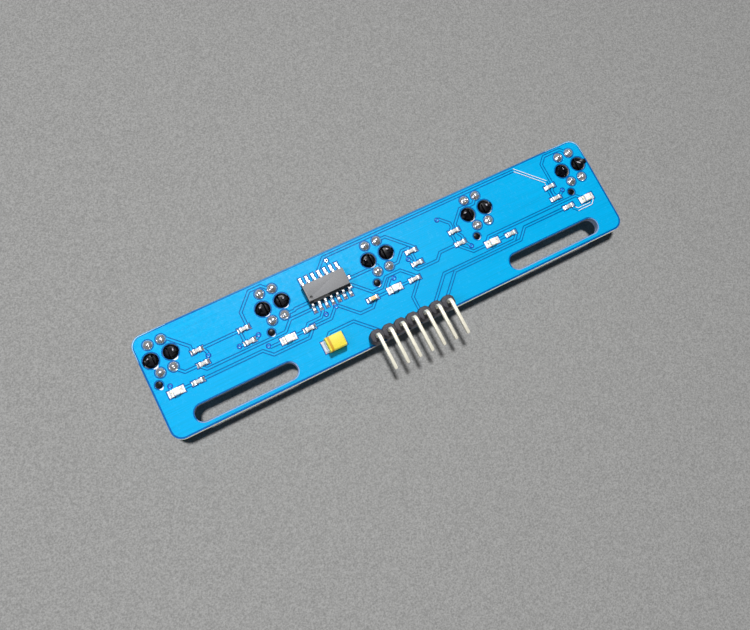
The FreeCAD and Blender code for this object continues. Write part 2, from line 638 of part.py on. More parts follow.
def make_indicators():
    """White base, moulded lens and wrapped terminals of each indicator light."""
    length, width, height = LED_SIZE
    nodes = {}
    lenses = []
    terminals = []
    wall = END_CAP_WALL
    half = LED_LENS_LENGTH / 2
    for i, x in enumerate(LED_X):
        base = box(x, LED_ROW_Y, wall, length - 2 * wall, width, LED_BASE_HEIGHT)
        nodes[f"indicator_base_{i + 1}"] = base
        outline = [
            (x - half, LED_BASE_HEIGHT), (x + half, LED_BASE_HEIGHT),
            (x + half - LED_LENS_SLOPE, height), (x - half + LED_LENS_SLOPE, height),
        ]
        lenses.append(profile_y(outline, LED_ROW_Y, width))
        for side in (-1, 1):
            centre = x + side * (length - LED_TERMINAL_LENGTH) / 2
            wrap = box(centre, LED_ROW_Y, 0, LED_TERMINAL_LENGTH, width, LED_BASE_HEIGHT + wall)
            terminals.append(wrap.cut(base))
    nodes["indicator_lenses"] = Part.makeCompound(lenses)
    nodes["indicator_terminals"] = Part.makeCompound(terminals)
    return nodes


def gull_lead(x, side):
    """One lead, from inside the chip's body down to its foot. Its outline is (y, z)."""
    t = IC_LEAD_THICKNESS
    z = IC_LEAD_Z
    root = IC_WIDTH / 2 - LEAD_ROOT
    outline = [
        (root, z + t / 2), (LEAD_KNEE, z + t / 2), (LEAD_FOOT + t / 2, t), (LEAD_TOE, t), (LEAD_TOE, 0.0),
        (LEAD_FOOT, 0.0), (LEAD_KNEE - t / 2, z - t / 2), (root, z - t / 2),
    ]
    placed = [(IC_PLACE[1] + side * y, height) for y, height in outline]
    return profile_x(placed, x, IC_LEAD_WIDTH)


def make_ic():
    cx, cy = IC_PLACE
    half_width = IC_WIDTH / 2
    across = [
        (cy - half_width, IC_LEAD_Z), (cy - half_width + IC_DRAFT, IC_BOTTOM),
        (cy + half_width - IC_DRAFT, IC_BOTTOM), (cy + half_width, IC_LEAD_Z),
        (cy + half_width - IC_DRAFT, IC_TOP), (cy - half_width + IC_DRAFT + IC_BEVEL, IC_TOP),
        (cy - half_width + IC_DRAFT / 2, IC_TOP - IC_BEVEL),
    ]
    half_length = IC_LENGTH / 2
    along = [
        (cx - half_length, IC_LEAD_Z), (cx - half_length + IC_DRAFT, IC_BOTTOM),
        (cx + half_length - IC_DRAFT, IC_BOTTOM), (cx + half_length, IC_LEAD_Z),
        (cx + half_length - IC_DRAFT, IC_TOP), (cx - half_length + IC_DRAFT, IC_TOP),
    ]
    body = profile_x(across, cx, IC_LENGTH).common(profile_y(along, cy, IC_WIDTH))
    dimple = cylinder(
        cx + IC_DIMPLE_OFFSET[0], cy + IC_DIMPLE_OFFSET[1], IC_DIMPLE_RADIUS, IC_TOP - IC_DIMPLE_DEPTH, IC_TOP
    )
    leads = [gull_lead(x, side) for x in ic_lead_x() for side in (-1, 1)]
    return {"ic_body": body.cut(leads + [dimple]), "ic_leads": Part.makeCompound(leads)}


def make_tantalum():
    """Moulded case with a slight draft, and two strap terminals folded under it."""
    cx, cy = TANTALUM_PLACE
    length, width, height = TANTALUM_SIZE
    half_length = length / 2 - TERMINAL_THICKNESS
    half_width = width / 2
    middle = height / 2
    along = [
        (cx - half_length, middle), (cx - half_length, TANTALUM_LIFT), (cx + half_length, TANTALUM_LIFT),
        (cx + half_length, middle), (cx + half_length - TANTALUM_DRAFT, height),
        (cx - half_length + TANTALUM_DRAFT, height),
    ]
    across = [
        (cy - half_width, middle), (cy - half_width + TANTALUM_DRAFT, TANTALUM_LIFT),
        (cy + half_width - TANTALUM_DRAFT, TANTALUM_LIFT), (cy + half_width, middle),
        (cy + half_width - TANTALUM_DRAFT, height), (cy - half_width + TANTALUM_DRAFT, height),
    ]
    case = profile_y(along, cy, width).common(profile_x(across, cx, length))
    straps = []
    for side in (-1, 1):
        outer = cx + side * length / 2
        wall = box(outer - side * TERMINAL_THICKNESS / 2, cy, 0, TERMINAL_THICKNESS, TERMINAL_WIDTH,
                   TERMINAL_HEIGHT)
        foot = box(outer - side * TERMINAL_FOOT / 2, cy, 0, TERMINAL_FOOT, TERMINAL_WIDTH, TANTALUM_LIFT)
        straps.append(joined([wall, foot]).cut(case))
    return {"tantalum_case": case, "tantalum_terminals": Part.makeCompound(straps)}


def end_joint(x, y, side, half_length, climb, pad_near, pad_far, width):
    """Solder under one end of a chip and up its end wall. Distances are from the chip's centre."""
    base = -MASK_THICKNESS
    outline = [
        (pad_near, base), (pad_far, base), (pad_far, FILLET_EDGE),
        (half_length + FILLET_WAIST, FILLET_WAIST_SHARE * climb), (half_length + FILLET_TOP, climb),
        (half_length, climb), (half_length, 0.0), (pad_near, 0.0),
    ]
    return profile_y([(x + side * a, z) for a, z in outline], y, width)


def make_smd_solder():
    joints = []
    offset, pad_length, pad_width = SMALL_PADS
    for _, x, y, size in chip_places():
        near = offset - pad_length / 2
        for side in (-1, 1):
            joints.append(
                end_joint(x, y, side, size[0] / 2, CHIP_CLIMB, near, offset + pad_length / 2, pad_width)
            )
    offset, pad_length, pad_width = LED_PADS
    for x in LED_X:
        near = offset - pad_length / 2
        for side in (-1, 1):
            joints.append(
                end_joint(
                    x, LED_ROW_Y, side, LED_SIZE[0] / 2, LED_CLIMB, near, offset + pad_length / 2, pad_width
                )
            )
    cx, cy = TANTALUM_PLACE
    for side, (x, length, width) in zip((-1, 1), TANTALUM_PADS):
        near = side * (x - cx) - length / 2
        joints.append(
            end_joint(cx, cy, side, TANTALUM_SIZE[0] / 2, TANTALUM_CLIMB, near, near + length, width)
        )
    for x in ic_lead_x():
        for side in (-1, 1):
            joints.append(lead_joint(x, side))
    for x, y in TEST_PADS:
        joints.append(box(x, y, -MASK_THICKNESS, *TEST_PAD_SIZE, TEST_PAD_SOLDER))
    rim = cylinder(*TINNED_VIA, VIA_PAD_RADIUS, -MASK_THICKNESS, FILLET_EDGE)
    joints.append(rim.cut(cylinder(*TINNED_VIA, VIA_BORE, -MASK_THICKNESS, FILLET_EDGE)))
    return Part.makeCompound(joints)


def lead_joint(x, side):
    """Solder under a gull-wing foot, with a heel and a toe."""
    near = IC_PAD_Y - IC_PAD_SIZE[1] / 2
    far = IC_PAD_Y + IC_PAD_SIZE[1] / 2
    base = -MASK_THICKNESS
    t = IC_LEAD_THICKNESS
    outline = [
        (near, base), (far, base), (far, FILLET_EDGE), (LEAD_TOE + t, 0.7 * t), (LEAD_TOE, t),
        (LEAD_TOE, 0.0), (LEAD_FOOT, 0.0), (near, 0.0),
    ]
    return profile_x([(IC_PLACE[1] + side * y, z) for y, z in outline], x, IC_PAD_SIZE[0])


# ---------------------------------------------------------------- export

def export(nodes):
    """Moves each node to the part's frame and writes it."""
    os.makedirs("parts", exist_ok=True)
    for name, shape in nodes.items():
        placed = shape.copy()
        placed.translate(V(0, -SLOT_Y, BOARD_THICKNESS))
        placed.exportStep(f"parts/{name}.step")
        solids = placed.Solids
        volume = sum(solid.Volume for solid in solids)
        print(f"{name}: {len(solids)} solids, {volume:.3f} mm3, valid {placed.isValid()}")


def main():
    nodes = make_board()
    for index in range(SENSOR_COUNT):
        nodes.update(make_sensor(index))
    nodes["sensor_solder"] = make_sensor_solder()
    nodes.update(make_header())
    nodes.update(make_chips())
    nodes.update(make_indicators())
    nodes.update(make_ic())
    nodes.update(make_tantalum())
    nodes["smd_solder"] = make_smd_solder()
    export(nodes)
    print(len(nodes), "nodes")


main()
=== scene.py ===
import math

import bmesh
import bpy
from mathutils import Matrix, Vector, noise
from mathutils.bvhtree import BVHTree


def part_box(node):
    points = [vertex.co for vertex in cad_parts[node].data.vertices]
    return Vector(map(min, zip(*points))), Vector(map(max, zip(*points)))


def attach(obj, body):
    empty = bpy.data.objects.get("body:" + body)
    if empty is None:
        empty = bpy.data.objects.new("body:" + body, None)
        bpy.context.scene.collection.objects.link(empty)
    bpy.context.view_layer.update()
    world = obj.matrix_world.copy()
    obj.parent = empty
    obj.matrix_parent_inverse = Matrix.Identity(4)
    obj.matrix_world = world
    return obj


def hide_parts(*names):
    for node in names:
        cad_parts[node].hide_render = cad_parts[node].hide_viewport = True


# The looks of a five-sensor line-following board. Every length in this script is in millimetres,
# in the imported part's own frame: the origin is midway between the two mounting slots on the
# board's underside, +X along the board, +Y towards the sensors' far edge, +Z up.

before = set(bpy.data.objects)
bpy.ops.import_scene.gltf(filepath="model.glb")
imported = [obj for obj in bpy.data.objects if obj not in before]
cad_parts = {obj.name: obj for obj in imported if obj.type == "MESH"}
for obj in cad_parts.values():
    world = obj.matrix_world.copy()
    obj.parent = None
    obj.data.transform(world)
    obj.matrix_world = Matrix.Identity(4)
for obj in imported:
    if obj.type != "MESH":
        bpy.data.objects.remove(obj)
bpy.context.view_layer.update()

MM = 0.001
WELD = 1e-4  # vertices closer than this are one
STEEP = 1  # least turn, in radians, at the edge of a step in the mask

# Board
MASK_STEP = 0.03  # how much lower the mask lies where there is no copper
MASK_SLOPE = 0.012  # width of the slope at each step of the mask
RIM_BEVEL = 0.06  # rounding of the mask where the board is cut
CORNER_RADIUS = 2.2
SLOT_RADIUS = 1.65
SLOT_HALF_RUN = 8.51  # from a slot's middle to the centre of each round end
SLOT_X = 33.3375
CLIP_HOLE_RADIUS = 1.45
CLIP_PLACE = (1.92, -0.08)  # clips and pegs are placed from the middle of their sensor's leads
PEG_HOLE_RADIUS = 0.7
PEG_PLACE = (-2.4, -4.75)
VIA_PAD_RADIUS = 0.4
VIA_RING = 0.62  # beyond this share of its pad's radius a via has the ring's blue
VIA_DIMPLE = 0.2  # and within this share the dark of its dimple
BARREL_LIMIT = 0.5  # wider barrels line the holes of leads and are not tented
SAME_PLACE = 0.3  # a barrel closer than this to the bare via's pad, along X, is its own
SMALL_PAD = 0.7  # shorter pads are for gull-wing feet, bare pads and the bare via
FOOT_PAD = 1  # of those, the feet's are wider than this
WIDE_PAD = 2  # wider pads are the tantalum capacitor's
PAD_FILL = 0.05  # depth of a pad below the mask's surface
BACK_RING = 0.79  # radius of a joint on the underside, as a share of its dome's

# Painted glare and glints on the mask
FILM_SINK = 0.02  # thin pale pieces start this far below the surface they lie on
FILM_RISE = 0.004
GLARE_RISE = 0.006
SLOT_GLARE = (200, 425)  # directions, in degrees, where the painted glare starts and ends round a slot
GLARE_RIM_WIDTH = 0.17  # width of the painted glare beside the slots and at the far corners, and of the painted sheen along the far edge
CORNER_LEAD = 5  # length of the painted glare along the far edge that belongs to each corner
RIM_GLINTS = ((1, 0.8), (2, 0.45), (3, 0.3), (4, 0.3))  # sensors with painted glint crescents, share of width
CRESCENT_WIDTH = 0.36
CRESCENT_AIM = 0.25 - math.pi / 2  # direction of a crescent's middle from its hole
CLIP_CRESCENT = 0.4  # half the turn that a crescent takes, in radians
PEG_CRESCENT = 0.6
# Painted glints: pale lines on the edges of some tracks.
GLINT_TRACK = (33.3, 17.0, 4.9, 1.0)  # start x and y, run along x, half width
GLINT_TURN = (41.2, 2.5, 5.2)  # x from which, and y between which
GLINT_LINE = 0.13  # width of a painted glint line on a track's edge
GLINT_FACING = Vector((0.5, -1, 0))  # edges that face this way get a painted glint

# Painted shade on the cut laminate
SLOT_SHADE_SIDE = 2.15  # the painted bluish shade on the slots' walls fades out at this |y|
SLOT_SHADE_END = 46.5  # and at this |x|, before the board's short ends
HEADER_SHADOW_FADE = 1.0  # half the length over which the painted shadow by the header fades

# Painted glints on clip posts: sensor, which post, place from the post's middle, length, turn
CLIP_GLINTS = (
    (1, -1, -0.45, 0.45, 0.42, 0.6), (1, 1, 0.5, 0.15, 0.5, 1.2),
    (2, -1, -0.4, 0.4, 0.3, 0.8), (2, 1, 0.45, 0.3, 0.36, 2.2),
    (3, -1, -0.5, 0.25, 0.32, 1.5), (3, 1, 0.5, 0.5, 0.45, 2.4),
    (4, -1, -0.35, 0.5, 0.42, 0.3), (4, 1, 0.45, 0.2, 0.5, 1.7),
    (5, -1, 0.45, 0.3, 0.4, 0.9), (5, 1, 0.2, 0.2, 0.8, 2.3),
)
CLIP_GLINT_WIDTH = 0.24
SKY = 50.0  # above everything

# Header
PIN_SIDE = 0.64
PIN_BEND = 0.85  # centreline radius
PIN_CORNER = 0.07
PIN_TAPER = 0.2  # length of the pointed end of a pin
PIN_PLAY = 0.01  # gap between a pin and its hole in the base
HOLE_CHAMFER = 0.1
HEADER_CORNER = 0.65
HEADER_ROUND = 0.5
SHARED_INSET = 0.25  # share of the base's rounding that is left where two segments meet

# Chips
CHIP_HALF = 0.8  # half the length of a chip
LIGHT_HALF = 1.0
GLAZE_HALF = 0.46  # half the length of a resistor's glaze
LENS_SLOPE = 0.08
BASE_NOTCH = 0.24  # radius of the half-round notch in each end of a light's base
TERMINAL_NOTCH = 0.22
GULL_THICKNESS = 0.2
GULL_ROOT = 0.3  # length of a lead inside the chip
GULL_KNEE = 0.42  # from the chip's wall to the corner of its lead
GULL_FOOT = 0.74
GULL_BEND = 0.17
GULL_TOE = 3.1  # from the chip's middle to where the solder round a foot starts to fall
STRAP_THICKNESS = 0.12
STRAP_ROOT = 0.5  # length of a tantalum terminal inside its case
STRAP_FOLD = 0.8  # length of its fold under the case
STRAP_BEND = 0.1
POLARITY_BAR = (0.42, 0.9)  # start and end of the printed bar, from the case's left end

# Solder on the surface pads
PATCH_DRAW = 0.16  # how far the corners of a patch draw in, as a share of its half size
PATCH_RIM = 3.5  # how steeply a patch rises from its rim
FILLET_DECAY = 0.12  # distance over which a fillet falls off under its chip
FILLET_UNDER = 0.08  # least height under a chip
FILLET_EDGE = 0.05  # least height beyond its end
FOOT_SOLDER = 0.16
FLAT_SOLDER = 0.11

SENSORS = range(1, 6)


# ---- frame and mesh helpers

def corners(node):
    """Lowest and highest corner of a CAD node."""
    low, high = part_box(node)
    return low / MM, high / MM


def centre(node):
    low, high = corners(node)
    return (low + high) / 2


BOARD_HIGH = corners("circuit_board")[1]
MASK_TOP = corners("solder_mask_top")[1].z
MASK_BOTTOM = corners("solder_mask_bottom")[0].z


def show(name, data):
    """An object in the scene, from a mesh, a camera or a lamp."""
    made = bpy.data.objects.new(name, data)
    bpy.context.scene.collection.objects.link(made)
    return made


def in_metres(name, bm):
    """A mesh for the scene from one in millimetres."""
    bmesh.ops.scale(bm, vec=(MM, MM, MM), verts=bm.verts)
    mesh = bpy.data.meshes.new(name)
    bm.to_mesh(mesh)
    bm.free()
    return mesh


def piece(name, bm, finishes, slot, *nodes, smooth=35):
    """An object from a mesh in millimetres, which stands for CAD nodes."""
    bmesh.ops.recalc_face_normals(bm, faces=bm.faces)
    mesh = in_metres(name, bm)
    for finish in finishes:
        mesh.materials.append(finish)
    mesh.shade_smooth()
    mesh.set_sharp_from_angle(angle=math.radians(smooth))
    made = show(name, mesh)
    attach(made, "root")
    if nodes:
        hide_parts(*nodes)


def stand_in(node, bm, finishes, slot, smooth=35):
    """An object that stands for one CAD node and is named after it."""
    piece(node + "_look", bm, finishes, slot, node, smooth=smooth)


def welded_copy(node):
    """A mesh in millimetres from a CAD node, with its seams closed and its flat faces whole."""
    bm = bmesh.new()
    bm.from_mesh(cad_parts[node].data)
    bmesh.ops.scale(bm, vec=(1 / MM, 1 / MM, 1 / MM), verts=bm.verts)
    bmesh.ops.remove_doubles(bm, verts=bm.verts, dist=WELD)
    bmesh.ops.dissolve_limit(bm, angle_limit=math.radians(0.5), verts=bm.verts, edges=bm.edges)
    return bm


def solids(node):
    """Lowest and highest corner of each separate solid in a CAD node, in order of x and then y."""
    bm = welded_copy(node)
    seen = set()
    found = []
    for start in bm.verts:
        if start in seen:
            continue
        seen.add(start)
        waiting = [start]
        points = []
        while waiting:
            vertex = waiting.pop()
            points.append(vertex.co.copy())
            for edge in vertex.link_edges:
                other = edge.other_vert(vertex)
                if other not in seen:
                    seen.add(other)
                    waiting.append(other)
        low = Vector(min(p[i] for p in points) for i in range(3))
        high = Vector(max(p[i] for p in points) for i in range(3))
        found.append((low, high))
    bm.free()
    return sorted(found, key=lambda pair: (round(pair[0].x, 3), round(pair[0].y, 3)))


def soften(bm, width, angle=30, segments=2, edges=None):
    """Rounds edges, or every corner that turns by more than an angle."""
    if edges is None:
        edges = [e for e in bm.edges if e.is_manifold and e.calc_face_angle() > math.radians(angle)]
    bmesh.ops.bevel(
        bm, geom=edges, offset=width, segments=segments, profile=0.5, affect="EDGES", clamp_overlap=True
    )


def wall(bm, a, b):
    """Faces between two closed rings of vertices."""
    return [bm.faces.new((a[i - 1], a[i], b[i], b[i - 1])) for i in range(len(a))]


def skin(bm, rings, material=0):
    """Faces between one closed ring of points and the next, with both ends closed."""
    loops = [[bm.verts.new(p) for p in ring] for ring in rings]
    faces = [bm.faces.new(loops[0]), bm.faces.new(loops[-1])]
    for a, b in zip(loops, loops[1:]):
        faces += wall(bm, a, b)
    for face in faces:
        face.material_index = material
    return faces


def tube(bm, rings):
    """Faces between each ring of points and the next, and from the last back to the first."""
    loops = [[bm.verts.new(p) for p in ring] for ring in rings]
    for a, b in zip(loops, loops[1:] + loops[:1]):
        wall(bm, a, b)


def prism(bm, outline, levels, material=0):
    """An outline repeated at each of some levels, with faces between them and at both ends."""
    skin(bm, [[Vector((p.x, p.y, z)) for p in outline] for z in levels], material)


def block(bm, low, high, radius, segments, material=0):
    """A block with rounded edges."""
    low = Vector(low)
    high = Vector(high)
    place = Matrix.Translation((low + high) / 2) @ Matrix.Diagonal((*(high - low), 1))
    made = bmesh.ops.create_cube(bm, size=1, matrix=place)
    edges = list({e for v in made["verts"] for e in v.link_edges})
    for face in {f for v in made["verts"] for f in v.link_faces}:
        face.material_index = material
    soften(bm, radius, segments=segments, edges=edges)


def circle(x, y, z, radius, count=32):
    turns = [2 * math.pi / count * i for i in range(count)]
    return [Vector((x + radius * math.cos(t), y + radius * math.sin(t), z)) for t in turns]


def rounded_corner(before, corner, after, radius, steps):
    """Points of an arc that rounds one corner of a path."""
    back = (before - corner).normalized()
    on = (after - corner).normalized()
    half = math.acos(max(-1, min(1, back.dot(on)))) / 2
    reach = radius / math.tan(half)
    start = corner + back * reach
    end = corner + on * reach
    hub = corner + (back + on).normalized() * (radius / math.sin(half))
    a = start - hub
    b = end - hub
    turn = math.pi - 2 * half
    return [
        hub + (a * math.sin((1 - t) * turn) + b * math.sin(t * turn)) / math.sin(turn)
        for t in (i / steps for i in range(steps + 1))
    ]


def rounded_path(points, radius, steps=5):
    """An open path through corners, with each inner corner rounded."""
    path = [points[0]]
    for before, corner, after in zip(points, points[1:], points[2:]):
        path += rounded_corner(before, corner, after, radius, steps)
    return path + [points[-1]]


def rounded_ring(points, radius, steps=4):
    """A closed outline with every corner rounded."""
    ring = []
    count = len(points)
    for i, corner in enumerate(points):
        ring += rounded_corner(points[i - 1], corner, points[(i + 1) % count], radius, steps)
    return ring


def rectangle(low, high, z):
    return [Vector((low[0], low[1], z)), Vector((high[0], low[1], z)),
            Vector((high[0], high[1], z)), Vector((low[0], high[1], z))]


def bar(bm, path, width, thickness, corner, end_scale=(1, 1)):
    """A bar with rounded corners along a path that stays in one plane of constant x."""
    flat = rectangle((-width / 2, -thickness / 2), (width / 2, thickness / 2), 0)
    ring = rounded_ring(flat, corner, 3)
    across = Vector((1, 0, 0))
    sections = []
    last = len(path) - 1
    for i, point in enumerate(path):
        along = (path[min(i + 1, last)] - path[max(i - 1, 0)]).normalized()
        up = across.cross(along)
        scale = end_scale[0] if i == 0 else end_scale[1] if i == last else 1
        sections.append([point + (across * p.x + up * p.y) * scale for p in ring])
    skin(bm, sections)


def uneven(point, size, amount, seed=0.0):
    """A smooth random offset, the same on each run."""
    return amount * noise.noise(Vector(point) / size + Vector((seed, 2.7 * seed, -seed)))


# ---- materials

class Finish:
    """A node material: one Principled shader fed by textures in the object's own space."""

    def __init__(self, name, **values):
        self.material = bpy.data.materials.new(name)
        self.material.use_nodes = True
        self.nodes = self.material.node_tree.nodes
        self.links = self.material.node_tree.links
        self.shader = self.nodes["Principled BSDF"]
        for socket, value in values.items():
            self.shader.inputs[socket.replace("_", " ")].default_value = value

    def texture(self, kind, size, stretch=(1, 1, 1)):
        """A texture node whose features have about this size in millimetres."""
        place = self.nodes.new("ShaderNodeTexCoord")
        mapping = self.nodes.new("ShaderNodeMapping")
        mapping.inputs["Scale"].default_value = [1 / (size * MM * s) for s in stretch]
        made = self.nodes.new(kind)
        made.inputs["Scale"].default_value = 1.0
        self.links.new(place.outputs["Object"], mapping.inputs["Vector"])
        self.links.new(mapping.outputs["Vector"], made.inputs["Vector"])
        return made

    def grain(self, size, detail=2.0, stretch=(1, 1, 1)):
        """Noise from 0 to 1 with grains of about this size, stretched along each axis."""
        noisy = self.texture("ShaderNodeTexNoise", size, stretch)
        noisy.inputs["Detail"].default_value = detail
        return noisy.outputs["Fac"]

    def cells(self, size):
        """Distance to the nearest of many scattered points, for flecks and pits."""
        return self.texture("ShaderNodeTexVoronoi", size).outputs["Distance"]

    def position(self, axis):
        """The place along one axis, in metres."""
        place = self.nodes.new("ShaderNodeTexCoord")
        split = self.nodes.new("ShaderNodeSeparateXYZ")
        self.links.new(place.outputs["Object"], split.inputs["Vector"])
        return split.outputs[axis]

    def span(self, value, low, high, to_low=0.0, to_high=1.0, smooth=False):
        """A value moved from one range to another."""
        node = self.nodes.new("ShaderNodeMapRange")
        node.interpolation_type = "SMOOTHSTEP" if smooth else "LINEAR"
        limits = {"From Min": low, "From Max": high, "To Min": to_low, "To Max": to_high}
        for socket, number in limits.items():
            node.inputs[socket].default_value = number
        self.links.new(value, node.inputs["Value"])
        return node.outputs["Result"]

    def math(self, kind, a, b):
        """The sum or product of two values."""
        node = self.nodes.new("ShaderNodeMath")
        node.operation = kind
        for socket, value in zip(node.inputs, (a, b)):
            self.links.new(value, socket)
        return node.outputs["Value"]

    def band(self, value, low, high, edge, smooth=True):
        """1 between two places in millimetres and 0 outside, fading over an edge either side of each."""
        rise = self.span(value, (low - edge) * MM, (low + edge) * MM, smooth=smooth)
        fall = self.span(value, (high - edge) * MM, (high + edge) * MM, 1, 0, smooth)
        return self.math("MULTIPLY", rise, fall)

    def ramp(self, value, *stops):
        """A colour from a value, through (place, colour) stops."""
        node = self.nodes.new("ShaderNodeValToRGB")
        elements = node.color_ramp.elements
        while len(elements) < len(stops):
            elements.new(0.5)
        for element, (place, colour) in zip(elements, stops):
            element.position = place
            element.color = (*colour, 1)
        self.links.new(value, node.inputs["Fac"])
        return node.outputs["Color"]

    def mix(self, factor, a, b, kind="MIX"):
        """One colour over another. Either may be a plain colour."""
        node = self.nodes.new("ShaderNodeMix")
        node.data_type = "RGBA"
        node.blend_type = kind
        sockets = [s for s in node.inputs if s.enabled]
        for socket, value in zip(sockets, (factor, a, b)):
            if isinstance(value, (int, float)):
                socket.default_value = value
            elif isinstance(value, tuple):
                socket.default_value = (*value, 1)
            else:
                self.links.new(value, socket)
        return [s for s in node.outputs if s.enabled][0]

    def colour(self, output):
        self.links.new(output, self.shader.inputs["Base Color"])

    def roughness(self, noisy, at_low, at_high):
        """Roughness from a noise, which stays nearly always between 0.3 and 0.7."""
        self.links.new(self.span(noisy, 0.3, 0.7, at_low, at_high), self.shader.inputs["Roughness"])

    def relief(self, output, height, strength=1.0):
        """Bump of about this height, in millimetres, added to any that is there."""
        node = self.nodes.new("ShaderNodeBump")
        node.inputs["Distance"].default_value = height * MM
        node.inputs["Strength"].default_value = strength
        self.links.new(output, node.inputs["Height"])
        normal = self.shader.inputs["Normal"]
        if normal.is_linked:
            self.links.new(normal.links[0].from_socket, node.inputs["Normal"])
        self.links.new(node.outputs["Normal"], normal)


def scaled(colour, factor):
    return tuple(min(1.0, c * factor) for c in colour)


def mask_finish(name, colour, gloss=0.2, specular=0.16):
    """Glossy solder mask with the fine lines that its coating leaves along the board."""
    f = Finish(name, Specular_IOR_Level=specular)
    lines = f.grain(0.16, 3, (90, 1, 1))
    broad = f.grain(9, 2, (2, 1, 1))
    tone = f.ramp(lines, (0.25, scaled(colour, 0.86)), (0.5, colour), (0.78, scaled(colour, 1.1)))
    soft = f.ramp(broad, (0.3, (0.9, 0.95, 0.97)), (0.7, (1.0, 1.0, 1.0)))
    f.colour(f.mix(1.0, tone, soft, "MULTIPLY"))
    f.roughness(f.grain(0.6, 4), gloss - 0.05, gloss + 0.1)
    f.relief(lines, 0.004, 0.5)
    f.relief(f.grain(0.35, 3), 0.004, 0.4)
    return f.material


def laminate_finish():
    """Cut glass-fibre laminate: pale resin, cloth and fibres, with a painted bluish shade on the slots'
    walls and a painted shadow by the header.
    """
    f = Finish("glass_fibre", Specular_IOR_Level=0.4, Subsurface_Weight=0.15, Subsurface_Scale=0.0006)
    layers = f.grain(0.13, 3, (9, 9, 1))
    fibres = f.grain(0.06, 4, (1, 1, 3))
    cream = (0.78, 0.78, 0.64)
    tone = f.ramp(layers, (0.3, (0.52, 0.5, 0.36)), (0.5, cream), (0.72, (0.9, 0.9, 0.76)))
    tone = f.mix(0.3, tone, f.ramp(fibres, (0.35, (0.4, 0.38, 0.28)), (0.6, (0.95, 0.94, 0.84))), "OVERLAY")
    # Painted shade with a painted bluish reflection of the mask: the slots' walls are a dull blue-grey.
    off_sides = f.band(f.position("Y"), -SLOT_SHADE_SIDE, SLOT_SHADE_SIDE, edge=0.1, smooth=False)
    off_ends = f.band(f.position("X"), -SLOT_SHADE_END, SLOT_SHADE_END, edge=0.5, smooth=False)
    tone = f.mix(f.math("MULTIPLY", off_ends, off_sides), tone, (0.3, 0.34, 0.44))
    # Painted shadow of the header: the cut laminate under and in front of it is near black.
    low, high = corners("header_base")
    along = f.band(f.position("X"), low.x, high.x, HEADER_SHADOW_FADE)
    near = f.span(f.position("Y"), low.y * MM, high.y * MM, 1, 0, True)
    f.colour(f.mix(f.math("MULTIPLY", near, along), tone, (0.05, 0.045, 0.05)))
    f.roughness(fibres, 0.5, 0.85)
    f.relief(layers, 0.03, 0.6)
    f.relief(fibres, 0.02, 0.6)
    return f.material


def metal_finish(name, colour, rough=(0.12, 0.34), size=0.35, dull=0.75, wave=0.02, metallic=1.0):
    """A metal surface whose colour, gloss and level vary over short distances."""
    f = Finish(name, Metallic=metallic)
    patch = f.grain(size, 4)
    f.colour(f.ramp(patch, (0.3, scaled(colour, dull)), (0.6, colour)))
    f.roughness(f.grain(size * 0.6, 5), rough[1], rough[0])
    f.relief(f.grain(size * 1.3, 2), wave, 0.6)
    f.relief(f.grain(size * 0.2, 3), wave * 0.2, 0.4)
    return f.material


def moulded_finish(name, colour, fleck, rough=(0.4, 0.62), size=0.12, fleck_share=0.12, **values):
    """Moulded plastic or epoxy: fine moulded texture, scattered pale dust."""
    f = Finish(name, **values)
    grain = f.grain(size, 5)
    base = f.ramp(grain, (0.3, scaled(colour, 0.7)), (0.55, colour), (0.75, scaled(colour, 1.35)))
    dust = f.ramp(f.cells(size * 2.2), (0.0, (1, 1, 1)), (fleck_share, (0, 0, 0)))
    f.colour(f.mix(dust, base, fleck))
    f.roughness(grain, *rough)
    f.relief(grain, size * 0.12, 0.5)
    f.relief(f.grain(size * 6, 2), size * 0.2, 0.3)
    return f.material


def ceramic_finish(name, colour, dark, rough=(0.35, 0.55), **values):
    """Fired ceramic or glass glaze with faint mottling and small pits."""
    f = Finish(name, **values)
    grain = f.grain(0.16, 5)
    f.colour(f.ramp(grain, (0.28, dark), (0.5, colour), (0.8, scaled(colour, 1.12))))
    f.roughness(f.grain(0.1, 4), *rough)
    f.relief(grain, 0.01, 0.5)
    f.relief(f.cells(0.14), 0.006, 0.3)
    return f.material


def clear_epoxy_finish(name, colour, inner, rough, transmission):
    """Cast epoxy that lets light through, with faint flow lines and moulded gloss."""
    f = Finish(name, IOR=1.52, Transmission_Weight=transmission)
    flow = f.grain(0.9, 3, (1, 1, 2))
    f.colour(f.ramp(flow, (0.3, inner), (0.65, colour)))
    f.roughness(f.grain(0.3, 3), rough, rough + 0.08)
    f.relief(f.grain(0.5, 2), 0.004, 0.3)
    return f.material


def tantalum_finish():
    """Yellow moulded epoxy with an orange polarity bar printed near one end."""
    left = corners("tantalum_case")[0].x
    f = Finish("yellow_epoxy", Specular_IOR_Level=0.4)
    grain = f.grain(0.12, 5)
    yellow = f.ramp(grain, (0.3, (0.72, 0.56, 0.02)), (0.52, (0.8, 0.68, 0.045)), (0.8, (0.84, 0.75, 0.1)))
    ragged = f.math("ADD", f.position("X"), f.span(f.grain(0.08, 3), 0, 1, -0.05 * MM, 0.05 * MM))
    stripe = f.band(ragged, left + POLARITY_BAR[0], left + POLARITY_BAR[1], edge=0.04)
    printed = f.math("MULTIPLY", stripe, f.span(f.grain(0.1, 4), 0.2, 0.36))
    f.colour(f.mix(printed, yellow, (0.58, 0.29, 0.0)))
    f.roughness(grain, 0.38, 0.58)
    f.relief(grain, 0.012, 0.5)
    f.relief(f.grain(0.9, 2), 0.02, 0.3)
    return f.material


BLUE = (0.001, 0.4, 0.75)
DEEP_BLUE = (0.0, 0.12, 0.38)
# The next three blues are painted glare beside the slots and round the far corners, and painted sheen along
# the far edge.
RIM_GLARE_BLUE = (0.3, 0.42, 0.62)
CORNER_GLARE_BLUE = (0.38, 0.66, 0.84)
EDGE_SHEEN_BLUE = (0.01, 0.25, 0.52)
VIA_BLUE = (0.0, 0.07, 0.48)

